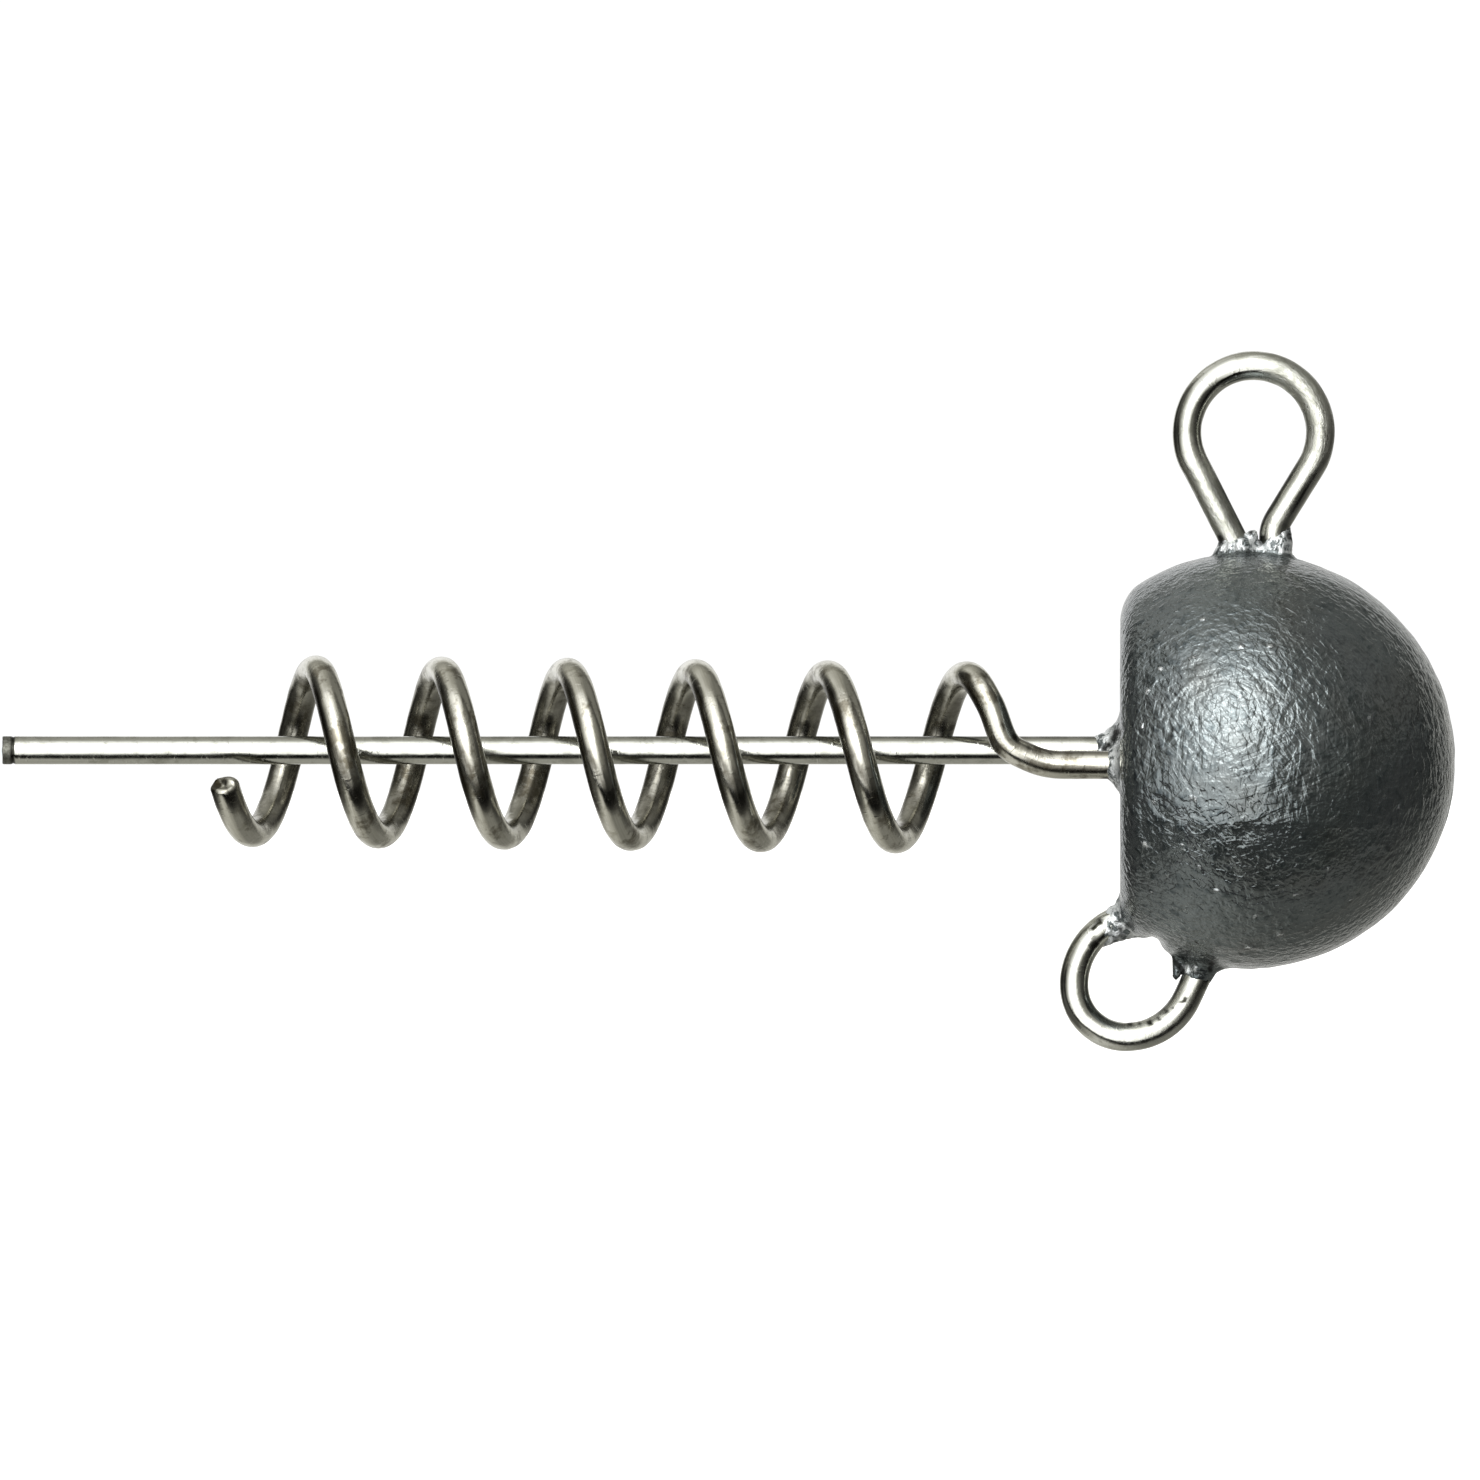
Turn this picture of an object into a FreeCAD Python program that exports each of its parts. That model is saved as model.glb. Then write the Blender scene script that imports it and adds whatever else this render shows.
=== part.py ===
import FreeCAD, Part
import math
import os

# Screw-in fishing jig head: a lead ball with a flat back, cast round two bent
# spring-steel wires.
#
# Frame: millimetres. The origin is the point where the axis of the straight
# spike meets the flat back face of the ball. +X runs along the spike towards
# the nose of the ball, +Z runs up towards the line eye, and the XZ plane is
# the mould's parting plane, in which the frame wire lies.
#
# A heading is an angle in the XZ plane, in degrees: 0 is +X and 90 is +Z.

Vector = FreeCAD.Vector
X_AXIS = Vector(1, 0, 0)
Z_AXIS = Vector(0, 0, 1)

# ---------------------------------------------------------------- dimensions
WIRE_D = 1.06            # both wires are one gauge

# cast lead ball
BALL_R = 7.80
BALL_X = 4.79            # ball centre, ahead of the flat back face
BALL_Z = -0.40           # ball centre, a little below the spike axis
BACK_RIM_R = 0.68        # rounding between the flat back and the ball

# straight spike
SPIKE_L = 42.13          # free length behind the flat back
SPIKE_TIP_BREAK = 0.10   # edge break on the sheared tip
SPIKE_BEND_R = 1.45      # bend from the spike up into the rear leg

# line eye, on top of the ball; radii of bends are to the wire's centre line
EYE_CENTRE = Vector(5.03, 0, 11.98)
EYE_R = 2.51
EYE_LEAN_BACK = 26.8     # lean of the rear leg from vertical, degrees
EYE_LEAN_FRONT = 31.6    # lean of the front leg from vertical, degrees
LEG_BACK_X = 4.52        # where the rear leg runs down inside the lead
LEG_FRONT_X = 5.76       # where the front leg runs down inside the lead
LEG_BEND_R = 1.20        # bend of each leg as it enters the lead

# hook eye, at the lower back of the ball
HOOK_BOTTOM = Vector(0.22, 0, -10.80)  # lowest point of the ring's centre line
HOOK_LEG_LEAN = 25.0     # lean of the front leg from vertical, degrees
HOOK_R_FRONT = 2.53      # the ring opens out towards its front leg,
HOOK_R_BACK = 1.96       # is tightest at the lower back,
HOOK_R_TOP = 2.64        # and opens out again towards its buried end
HOOK_END_RISE = 23.0     # slope of the buried end above horizontal, degrees
HOOK_END_L = 2.90        # length of the buried end
HOOK_LEG_BEND_R = 2.20   # bend from the line eye's front leg to the hook eye's

# corkscrew: right-handed about +X, its pitch widest next to the ball
COIL_R = 3.115           # radius of the coil, to the wire's centre line
COIL_TOP_X = -30.34      # x of the first crest
COIL_PITCH = 4.768       # pitch at the first crest
COIL_PITCH_2 = -0.0323   # second-order and third-order terms of the advance
COIL_PITCH_3 = 0.01194
COIL_TURNS_BEFORE = 0.678    # turns of wire before the first crest
COIL_TURNS_AFTER = 5.0   # turns from the first crest to the run-out
COIL_AXIS_Z = -0.05      # height of the coil's axis at the first crest
COIL_AXIS_DROP = 0.047   # the axis sinks by this much each turn
COIL_POINTS_PER_TURN = 12

# the corkscrew's straight tail runs close beside the -Y side of the spike
TAIL_START = Vector(-1.84, -1.480, -0.55)
TAIL_IN = 3.35           # how far the tail runs into the lead
TAIL_BEND_R = 1.10       # anchor bend at its buried end
TAIL_HOOK_L = 1.30       # straight length after the anchor bend

# centre line from the last crest in to the tail: x, y, z
RUN_OUT = [
    (-5.339, -1.240, 2.508),
    (-5.064, -1.530, 2.061),
    (-4.765, -1.630, 1.461),
    (-4.138, -1.590, 0.123),
    (-3.659, -1.555, -0.165),
    (-2.670, -1.495, -0.500),
]

# lead collars round the wires where they leave the casting:
# R0 is at the broad end in the lead, R1 at the outer end
BACK_COLLAR_L = 0.50
BACK_COLLAR_R0 = 1.85
BACK_COLLAR_R1 = 1.14
BACK_PLUG_L = 1.0        # carries the back collar forward into the ball

LEG_COLLAR_R0 = 1.05
LEG_COLLAR_R1 = 0.64
REAR_COLLAR_EXTRA_R = 0.35   # the rear leg's collar is fatter at its broad end
REAR_COLLAR_L = 1.75
REAR_COLLAR_DEPTH = 1.2      # start, back along the leg from its corner
FRONT_COLLAR_L = 1.92
FRONT_COLLAR_DEPTH = 1.8     # start, below the front leg's corner
FRONT_COLLAR_SHIFT = 0.06    # axis, ahead of the front leg

# web of lead between the two legs
WEB_T = 0.7
WEB_H = 1.6
WEB_DEPTH = 1.95         # underside, below the front leg's corner

# lugs on the hook eye's ends
HOOK_COLLAR_R0 = 1.20
HOOK_COLLAR_R1 = 0.64
REAR_LUG_L = 1.85
REAR_LUG_DEPTH = 1.2     # start, along the wire from the end of the ring
FRONT_LUG_L = 1.45
FRONT_LUG_DEPTH = 2.3    # start, along the wire from the start of the ring

# relief that keeps the hook eye open: a teardrop slot through the casting
RELIEF_W = 8.0           # across the parting plane
RELIEF_BIG = Vector(0.34, -RELIEF_W / 2, -8.78)
RELIEF_BIG_R = 1.50
RELIEF_TIP = Vector(1.21, -RELIEF_W / 2, -7.32)
RELIEF_TIP_R = 0.38


# ------------------------------------------------------------ planar geometry
def polar(origin, heading, distance):
    """Point at a distance from origin along a heading in the XZ plane."""
    angle = math.radians(heading)
    return origin + Vector(distance * math.cos(angle), 0, distance * math.sin(angle))


def direction(heading):
    return polar(Vector(), heading, 1.0)


def on_ring(centre, radius, heading):
    """Point of a ring travelled clockwise, where the travel has this heading."""
    return polar(centre, heading + 90.0, radius)


def crossing(point, heading, x):
    """Where the line through point with this heading reaches x."""
    return Vector(x, 0, point.z + (x - point.x) * math.tan(math.radians(heading)))


def setback(radius, turn):
    """Distance from a corner to the tangent points of its bend."""
    return radius * math.tan(math.radians(turn) / 2)


def line(start, end):
    return Part.LineSegment(start, end).toShape()


def arc(start, middle, end):
    return Part.Arc(start, middle, end).toShape()


class PlanarPath:
    """Tangent lines and arcs in the XZ plane, built as the wire is bent."""

    def __init__(self, point, heading):
        self.point = point
        self.heading = heading
        self.edges = []

    def line(self, length):
        end = polar(self.point, self.heading, length)
        self.edges.append(line(self.point, end))
        self.point = end

    def line_to(self, target):
        self.line((target - self.point).Length)

    def arc(self, radius, turn):
        """turn is positive to the left of travel, in degrees."""
        reach = math.copysign(radius, turn)
        centre = polar(self.point, self.heading + 90.0, reach)
        middle, end = [polar(centre, self.heading + part - 90.0, reach)
                       for part in (turn / 2.0, turn)]
        self.edges.append(arc(self.point, middle, end))
        self.point = end
        self.heading += turn


def sweep_wire(edges, start, tangent):
    spine = Part.Wire(edges)
    profile = Part.Wire([Part.Circle(start, tangent, WIRE_D / 2).toShape()])
    solid = spine.makePipeShell([profile], True, False)
    # the sweep may come out with its faces turned inwards
    if solid.Volume < 0:
        solid.reverse()
    return solid


# ---------------------------------------------- layout of the two eyes' legs
HEADING_BACK = 90.0 + EYE_LEAN_BACK        # up the rear leg
HEADING_FRONT = -(90.0 + EYE_LEAN_FRONT)   # down the front leg
HEADING_HOOK = -(90.0 + HOOK_LEG_LEAN)     # down the hook eye's front leg

# ends of the rings, where the legs are tangent to them
EYE_START = on_ring(EYE_CENTRE, EYE_R, HEADING_BACK)
EYE_END = on_ring(EYE_CENTRE, EYE_R, HEADING_FRONT)
HOOK_START = on_ring(HOOK_BOTTOM + Vector(0, 0, HOOK_R_FRONT), HOOK_R_FRONT, HEADING_HOOK)
HOOK_END = on_ring(HOOK_BOTTOM + Vector(HOOK_R_TOP - HOOK_R_BACK, 0, HOOK_R_BACK),
                   HOOK_R_TOP, HOOK_END_RISE)

# corners where the leaning legs meet the upright wires in the lead
CORNER_BACK = crossing(EYE_START, HEADING_BACK, LEG_BACK_X)
CORNER_FRONT = crossing(EYE_END, HEADING_FRONT, LEG_FRONT_X)
CORNER_HOOK = crossing(HOOK_START, HEADING_HOOK, LEG_FRONT_X)


# ------------------------------------------------------------------ frame wire
def make_frame_wire():
    start = Vector(-SPIKE_L, 0, 0)
    path = PlanarPath(start, 0.0)
    path.line(SPIKE_L + LEG_BACK_X - SPIKE_BEND_R)          # straight spike
    path.arc(SPIKE_BEND_R, 90.0)                            # up inside the ball
    path.line(CORNER_BACK.z - setback(LEG_BEND_R, EYE_LEAN_BACK) - path.point.z)
    path.arc(LEG_BEND_R, EYE_LEAN_BACK)                     # rear leg leans back
    path.line_to(EYE_START)
    path.arc(EYE_R, HEADING_FRONT - HEADING_BACK)           # over the line eye
    path.line((EYE_END - CORNER_FRONT).Length - setback(LEG_BEND_R, EYE_LEAN_FRONT))
    path.arc(LEG_BEND_R, EYE_LEAN_FRONT)                    # front leg turns down
    path.line(path.point.z - CORNER_HOOK.z - setback(HOOK_LEG_BEND_R, HOOK_LEG_LEAN))
    path.arc(HOOK_LEG_BEND_R, -HOOK_LEG_LEAN)               # towards the hook eye
    path.line_to(HOOK_START)
    path.arc(HOOK_R_FRONT, -(90.0 - HOOK_LEG_LEAN))         # round the hook eye
    path.arc(HOOK_R_BACK, -90.0)
    path.arc(HOOK_R_TOP, -(90.0 - HOOK_END_RISE))
    path.line(HOOK_END_L)                                   # buried end
    wire = sweep_wire(path.edges, start, X_AXIS)

    tip = [edge for edge in wire.Edges
           if abs(edge.BoundBox.XMax + SPIKE_L) < 1e-4
           and edge.BoundBox.ZLength > WIRE_D / 2]
    return wire.makeChamfer(SPIKE_TIP_BREAK, tip)


# ------------------------------------------------------------------- corkscrew
def coil_point(turns):
    """Point of the coil's centre line, this many turns after its first crest."""
    angle = 2 * math.pi * turns
    advance = COIL_PITCH * turns + COIL_PITCH_2 * turns ** 2 + COIL_PITCH_3 * turns ** 3
    axis_z = COIL_AXIS_Z - COIL_AXIS_DROP * turns
    return Vector(COIL_TOP_X + advance,
                  -COIL_R * math.sin(angle),
                  axis_z + COIL_R * math.cos(angle))


def coil_tangent(turns):
    step = 1e-4
    tangent = coil_point(turns + step) - coil_point(turns - step)
    tangent.normalize()
    return tangent


def make_tail_edges():
    """Straight tail, anchor bend and the short length down after it."""
    _, y, z = TAIL_START
    inset = TAIL_BEND_R * (1 - math.sqrt(0.5))
    bend_start = Vector(TAIL_IN - TAIL_BEND_R, y, z)
    bend_middle = Vector(TAIL_IN - inset, y, z - inset)
    bend_end = Vector(TAIL_IN, y, z - TAIL_BEND_R)
    return [line(TAIL_START, bend_start),
            arc(bend_start, bend_middle, bend_end),
            line(bend_end, bend_end - Z_AXIS * TAIL_HOOK_L)]


def make_corkscrew(tail_edges):
    turns = COIL_TURNS_BEFORE + COIL_TURNS_AFTER
    count = int(round(turns * COIL_POINTS_PER_TURN))
    centres = [coil_point(-COIL_TURNS_BEFORE + turns * i / count) for i in range(count + 1)]
    centres += [Vector(*point) for point in RUN_OUT] + [TAIL_START]

    # parameters by chord length, so that unit end tangents have the right size
    knots = [0.0]
    for previous, point in zip(centres, centres[1:]):
        knots.append(knots[-1] + (point - previous).Length)
    start_tangent = coil_tangent(-COIL_TURNS_BEFORE)
    curve = Part.BSplineCurve()
    curve.interpolate(Points=centres, Parameters=knots, InitialTangent=start_tangent,
                      FinalTangent=X_AXIS, Scale=False)
    return sweep_wire([curve.toShape()] + tail_edges, centres[0], start_tangent)


# ------------------------------------------------------------------- lead head
def make_ball():
    """Ball cut flat at x = 0, with the rim of the flat rounded."""
    ball = Part.makeSphere(BALL_R, Vector(BALL_X, 0, BALL_Z))
    ball = ball.common(Part.makeBox(2 * BALL_R + 6, 4 * BALL_R, 4 * BALL_R,
                                    Vector(0, -2 * BALL_R, -2 * BALL_R)))
    rim = [edge for edge in ball.Edges
           if abs(edge.BoundBox.XMax) < 1e-4 and abs(edge.BoundBox.XMin) < 1e-4]
    return ball.makeFillet(BACK_RIM_R, rim)


def make_collars():
    # the back collar is centred between the spike and the corkscrew's tail
    back_centre = Vector(0, TAIL_START.y / 2, TAIL_START.z / 2)
    return [
        Part.makeCone(BACK_COLLAR_R0, BACK_COLLAR_R1, BACK_COLLAR_L, back_centre, -X_AXIS),
        Part.makeCylinder(BACK_COLLAR_R0, BACK_PLUG_L, back_centre, X_AXIS),
        # line eye: rear leg, front leg and the web between them
        Part.makeCone(LEG_COLLAR_R0 + REAR_COLLAR_EXTRA_R, LEG_COLLAR_R1, REAR_COLLAR_L,
                      polar(CORNER_BACK, HEADING_BACK, -REAR_COLLAR_DEPTH),
                      direction(HEADING_BACK)),
        Part.makeCone(LEG_COLLAR_R0, LEG_COLLAR_R1, FRONT_COLLAR_L,
                      CORNER_FRONT + Vector(FRONT_COLLAR_SHIFT, 0, -FRONT_COLLAR_DEPTH),
                      Z_AXIS),
        Part.makeBox(LEG_FRONT_X - LEG_BACK_X, WEB_T, WEB_H,
                     Vector(LEG_BACK_X, -WEB_T / 2, CORNER_FRONT.z - WEB_DEPTH)),
        # hook eye: rear lug and front lug
        Part.makeCone(HOOK_COLLAR_R0, HOOK_COLLAR_R1, REAR_LUG_L,
                      polar(HOOK_END, HOOK_END_RISE, REAR_LUG_DEPTH),
                      direction(HOOK_END_RISE + 180.0)),
        Part.makeCone(HOOK_COLLAR_R0, HOOK_COLLAR_R1, FRONT_LUG_L,
                      polar(HOOK_START, HEADING_HOOK, -FRONT_LUG_DEPTH),
                      direction(HEADING_HOOK)),
    ]


def make_relief():
    """Two round ends joined by their outer tangents."""
    axis = RELIEF_TIP - RELIEF_BIG
    heading = math.degrees(math.atan2(axis.z, axis.x))
    flare = math.degrees(math.asin((RELIEF_BIG_R - RELIEF_TIP_R) / axis.Length))
    big_left, big_right = [polar(RELIEF_BIG, heading + side * (90.0 - flare), RELIEF_BIG_R)
                           for side in (1, -1)]
    tip_left, tip_right = [polar(RELIEF_TIP, heading + side * (90.0 - flare), RELIEF_TIP_R)
                           for side in (1, -1)]
    outline = [
        line(big_left, tip_left),
        arc(tip_left, polar(RELIEF_TIP, heading, RELIEF_TIP_R), tip_right),
        line(tip_right, big_right),
        arc(big_right, polar(RELIEF_BIG, heading + 180.0, RELIEF_BIG_R), big_left),
    ]
    return Part.Face(Part.Wire(outline)).extrude(Vector(0, RELIEF_W, 0))


def make_lead_head(frame_wire, tail_edges):
    lead = make_ball().fuse(make_collars())
    lead = lead.cut(make_relief())
    lead = lead.cut(frame_wire)
    # the tail is all of the corkscrew that the lead touches
    lead = lead.cut(sweep_wire(tail_edges, TAIL_START, X_AXIS))
    # the cuts may leave loose slivers beside the casting
    return max(lead.Solids, key=lambda solid: solid.Volume)


# ---------------------------------------------------------------------- export
frame_wire = make_frame_wire()
tail_edges = make_tail_edges()
corkscrew = make_corkscrew(tail_edges)
lead_head = make_lead_head(frame_wire, tail_edges)

os.makedirs("parts", exist_ok=True)
for name, solid in (("lead_head", lead_head),
                    ("frame_wire", frame_wire.Solids[0]),
                    ("corkscrew", corkscrew.Solids[0])):
    solid.exportStep("parts/%s.step" % name)
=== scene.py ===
"""Screw-in jig head: a cast lead ball and two bent steel wires.

The frame wire makes a straight spike, the line eye on top of the ball and the
hook eye under it. The corkscrew winds round the spike, and its tail runs into
the ball. Lengths are in millimetres and become metres when a mesh is made.

The spike lies along X with its tip at -X, and the ball's flat back is the plane
x = 0. Back is -X, front is +X, up is +Z, and the near side, toward the camera,
is -Y. Headings are degrees in the XZ plane: 0 is toward +X and 90 is up.
"""
import math
from functools import reduce

import bpy
import numpy as np
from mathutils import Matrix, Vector
from mathutils.kdtree import KDTree


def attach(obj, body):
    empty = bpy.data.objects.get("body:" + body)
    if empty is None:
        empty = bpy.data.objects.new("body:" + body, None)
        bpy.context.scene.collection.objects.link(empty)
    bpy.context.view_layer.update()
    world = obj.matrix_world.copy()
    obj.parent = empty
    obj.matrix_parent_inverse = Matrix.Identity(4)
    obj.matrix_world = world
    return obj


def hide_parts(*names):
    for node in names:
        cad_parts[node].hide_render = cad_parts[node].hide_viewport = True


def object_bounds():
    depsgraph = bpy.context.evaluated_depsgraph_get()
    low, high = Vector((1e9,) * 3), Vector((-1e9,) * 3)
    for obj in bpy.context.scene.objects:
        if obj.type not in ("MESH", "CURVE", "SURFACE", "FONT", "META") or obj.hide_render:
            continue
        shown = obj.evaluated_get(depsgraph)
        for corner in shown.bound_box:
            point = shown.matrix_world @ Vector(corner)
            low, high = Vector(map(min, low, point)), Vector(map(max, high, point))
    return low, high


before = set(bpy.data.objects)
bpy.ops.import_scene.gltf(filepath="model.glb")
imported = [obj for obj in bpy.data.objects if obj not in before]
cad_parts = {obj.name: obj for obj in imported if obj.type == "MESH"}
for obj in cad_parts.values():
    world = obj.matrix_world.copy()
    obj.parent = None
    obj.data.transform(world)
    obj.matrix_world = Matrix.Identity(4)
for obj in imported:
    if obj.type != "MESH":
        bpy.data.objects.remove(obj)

MM = 0.001
cad_lo, cad_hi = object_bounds()

# ------------------------------------------------------------ design dimensions
WIRE_R = 0.53
BALL_C = np.array([4.79, 0.0, -0.40])
BALL_R = 7.80
RIM_R = 0.68                            # rounding of the flat back's edge
SPIKE_L = 42.13
EYE_X, EYE_Z, EYE_R = 5.03, 11.98, 2.51
LEAN_BACK, LEAN_FRONT = 26.8, 31.6      # lean of the line eye's legs, degrees
LEG_BACK_X, LEG_FRONT_X = 4.52, 5.76
LEG_BEND_R, SPIKE_BEND_R = 1.20, 1.45
HOOK_BOTTOM_X, HOOK_BOTTOM_Z = 0.22, -10.80
HOOK_LEAN, HOOK_R_FRONT, HOOK_R_BACK, HOOK_R_TOP = 25.0, 2.53, 1.96, 2.64
HOOK_END_RISE, HOOK_END_L, HOOK_LEG_BEND_R = 23.0, 2.90, 2.20
COIL_R, COIL_TOP_X = 3.115, -30.34
COIL_AXIS_Z = -0.15
COIL_BEFORE, COIL_AFTER = 0.678, 5.0    # turns before and after COIL_TOP_X
TAIL_Y, TAIL_Z, TAIL_IN, TAIL_BEND_R, TAIL_HOOK_L = -1.480, -0.55, 3.35, 1.10, 1.30

HEADING_BACK = 90 + LEAN_BACK           # up the back leg
HEADING_FRONT = -(90 + LEAN_FRONT)      # down the front leg
HEADING_HOOK = -(90 + HOOK_LEAN)        # down into the hook eye

FRAME_STEP, CORK_STEP, TIP_STEP = 0.13, 0.14, 0.035
TIP_FINE_L = 1.3                        # length of spike sampled at TIP_STEP
WIRE_SEGMENTS = 36
LEAD_GRID = 0.100


# ------------------------------------------------------------------ wire paths
class WirePath:
    """Lines and tangent arcs in the XZ plane, sampled finely."""

    def __init__(self, x, z, heading, step):
        self.x, self.z, self.heading, self.step = x, z, heading, step
        self.points = [(x, 0.0, z)]
        self.length = 0.0
        self.marks = {}
        self.places = {}

    def mark(self, name):
        """Remember how far along the wire this is, and where."""
        self.marks[name] = self.length
        self.places[name] = np.array([self.x, 0, self.z])

    def line(self, length):
        count = max(1, int(math.ceil(length / self.step)))
        a = math.radians(self.heading)
        for i in range(1, count + 1):
            t = length * i / count
            self.points.append((self.x + t * math.cos(a), 0.0, self.z + t * math.sin(a)))
        self.x, _, self.z = self.points[-1]
        self.length += length

    def line_to(self, x, z):
        self.line(math.hypot(x - self.x, z - self.z))

    def arc(self, radius, turn):
        side = 1.0 if turn > 0 else -1.0
        length = radius * math.radians(abs(turn))
        count = max(3, int(math.ceil(length / self.step)))
        a = math.radians(self.heading)
        centre_x = self.x - side * radius * math.sin(a)
        centre_z = self.z + side * radius * math.cos(a)
        for i in range(1, count + 1):
            b = math.radians(self.heading + turn * i / count)
            self.points.append((centre_x + side * radius * math.sin(b), 0.0,
                                centre_z - side * radius * math.cos(b)))
        self.x, _, self.z = self.points[-1]
        self.heading += turn
        self.length += length


def on_ring(centre_x, centre_z, radius, heading):
    """Point of a ring, bent clockwise, where the wire has this heading."""
    a = math.radians(heading)
    return centre_x - radius * math.sin(a), centre_z + radius * math.cos(a)


def height_at(at_x, x, z, heading):
    """Height at at_x of the line through (x, z)."""
    return z + (at_x - x) * math.tan(math.radians(heading))


def setback(radius, turn):
    """Distance from a bend's corner to where its arc starts."""
    return radius * math.tan(math.radians(turn) / 2)


def frame_path():
    back_x, back_z = on_ring(EYE_X, EYE_Z, EYE_R, HEADING_BACK)
    front_x, front_z = on_ring(EYE_X, EYE_Z, EYE_R, HEADING_FRONT)
    hook_x, hook_z = on_ring(HOOK_BOTTOM_X, HOOK_BOTTOM_Z + HOOK_R_FRONT, HOOK_R_FRONT,
                             HEADING_HOOK)
    # corners where the upright wire meets the leaning parts
    back_corner = height_at(LEG_BACK_X, back_x, back_z, HEADING_BACK)
    front_corner = height_at(LEG_FRONT_X, front_x, front_z, HEADING_FRONT)
    hook_corner = height_at(LEG_FRONT_X, hook_x, hook_z, HEADING_HOOK)

    wire = WirePath(-SPIKE_L, 0.0, 0.0, FRAME_STEP)
    wire.line(SPIKE_L + LEG_BACK_X - SPIKE_BEND_R)
    wire.arc(SPIKE_BEND_R, 90.0)
    wire.line(back_corner - setback(LEG_BEND_R, LEAN_BACK) - wire.z)
    wire.mark("back_entry")
    wire.arc(LEG_BEND_R, LEAN_BACK)
    wire.line_to(back_x, back_z)
    wire.mark("ring_in")
    wire.arc(EYE_R, -(HEADING_BACK - HEADING_FRONT))
    wire.mark("ring_out")
    wire.line(math.hypot(front_x - LEG_FRONT_X, front_z - front_corner)
              - setback(LEG_BEND_R, LEAN_FRONT))
    wire.mark("front_bend")
    wire.arc(LEG_BEND_R, LEAN_FRONT)
    wire.line(wire.z - hook_corner - setback(HOOK_LEG_BEND_R, HOOK_LEAN))
    wire.arc(HOOK_LEG_BEND_R, -HOOK_LEAN)
    wire.line_to(hook_x, hook_z)
    wire.mark("hook_out")
    wire.arc(HOOK_R_FRONT, -(90.0 - HOOK_LEAN))
    wire.mark("hook_bottom")
    wire.arc(HOOK_R_BACK, -90.0)
    wire.arc(HOOK_R_TOP, -(90.0 - HOOK_END_RISE))
    wire.mark("hook_in")
    wire.line(HOOK_END_L)
    return np.array(wire.points), wire.marks, wire.places


def refine_start(path, reach, step):
    """Sample the straight start of a path more finely."""
    along = path[1] - path[0]
    along = along / np.linalg.norm(along)
    head = [path[0] + along * s for s in np.arange(0, reach, step)]
    rest = [p for p in path if (p - path[0]) @ along > reach + step * 0.5]
    return np.vstack([head, rest])


def coil_point(turns):
    """Point of the coil this many turns after COIL_TOP_X; its pitch is slightly uneven."""
    angle = 2 * math.pi * turns
    x = COIL_TOP_X + 4.768 * turns - 0.0323 * turns ** 2 + 0.01194 * turns ** 3
    axis_z = -0.05 - 0.047 * turns
    return np.array([x, -COIL_R * math.sin(angle), axis_z + COIL_R * math.cos(angle)])


def clamped_spline(knots, start_tangent, end_tangent, step):
    """C2 cubic through the knots with unit end tangents, by chord length."""
    P = np.asarray(knots, float)
    u = np.r_[0, np.cumsum(np.linalg.norm(np.diff(P, axis=0), axis=1))]
    h = np.diff(u)
    n = len(P)
    A = np.zeros((n, n))
    B = np.zeros((n, 3))
    A[0, 0] = A[-1, -1] = 1.0
    B[0], B[-1] = start_tangent, end_tangent
    for i in range(1, n - 1):
        A[i, i - 1] = 1 / h[i - 1]
        A[i, i] = 2 * (1 / h[i - 1] + 1 / h[i])
        A[i, i + 1] = 1 / h[i]
        B[i] = 3 * ((P[i] - P[i - 1]) / h[i - 1] ** 2 + (P[i + 1] - P[i]) / h[i] ** 2)
    M = np.linalg.solve(A, B)
    q = np.linspace(0, u[-1], int(math.ceil(u[-1] / step)) + 1)
    k = np.clip(np.searchsorted(u, q, side="right") - 1, 0, n - 2)
    t = ((q - u[k]) / h[k])[:, None]
    H = h[k][:, None]
    return ((2 * t ** 3 - 3 * t ** 2 + 1) * P[k] + (t ** 3 - 2 * t ** 2 + t) * H * M[k]
            + (-2 * t ** 3 + 3 * t ** 2) * P[k + 1] + (t ** 3 - t ** 2) * H * M[k + 1])


TAIL_START = (-1.84, TAIL_Y, TAIL_Z)
# x, y, z of the wire between the last turn and the straight tail
RUN_OUT = (
    (-5.339, -1.240, 2.508), (-5.064, -1.530, 2.061), (-4.765, -1.630, 1.461),
    (-4.138, -1.590, 0.123), (-3.659, -1.555, -0.165), (-2.670, -1.495, -0.500))


def corkscrew_path():
    turns = COIL_BEFORE + COIL_AFTER
    count = int(round(turns * 12))
    knots = [coil_point(-COIL_BEFORE + turns * i / count) for i in range(count + 1)]
    knots += [np.array(p) for p in RUN_OUT + (TAIL_START,)]
    tangent = coil_point(-COIL_BEFORE + 1e-4) - coil_point(-COIL_BEFORE - 1e-4)
    tangent /= np.linalg.norm(tangent)
    body = clamped_spline(knots, tangent, np.array([1.0, 0, 0]), CORK_STEP)
    tail = WirePath(TAIL_START[0], TAIL_Z, 0.0, CORK_STEP)
    tail.line(TAIL_IN - TAIL_BEND_R - TAIL_START[0])
    tail.arc(TAIL_BEND_R, -90.0)
    tail.line(TAIL_HOOK_L)
    tail_points = np.array(tail.points)
    tail_points[:, 1] = TAIL_Y
    return np.vstack([body, tail_points[1:]])


frame_points, marks, places = frame_path()
frame_points = refine_start(frame_points, TIP_FINE_L, TIP_STEP)
cork_points = corkscrew_path()
ring_mid = 0.5 * (marks["ring_in"] + marks["ring_out"])


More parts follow.
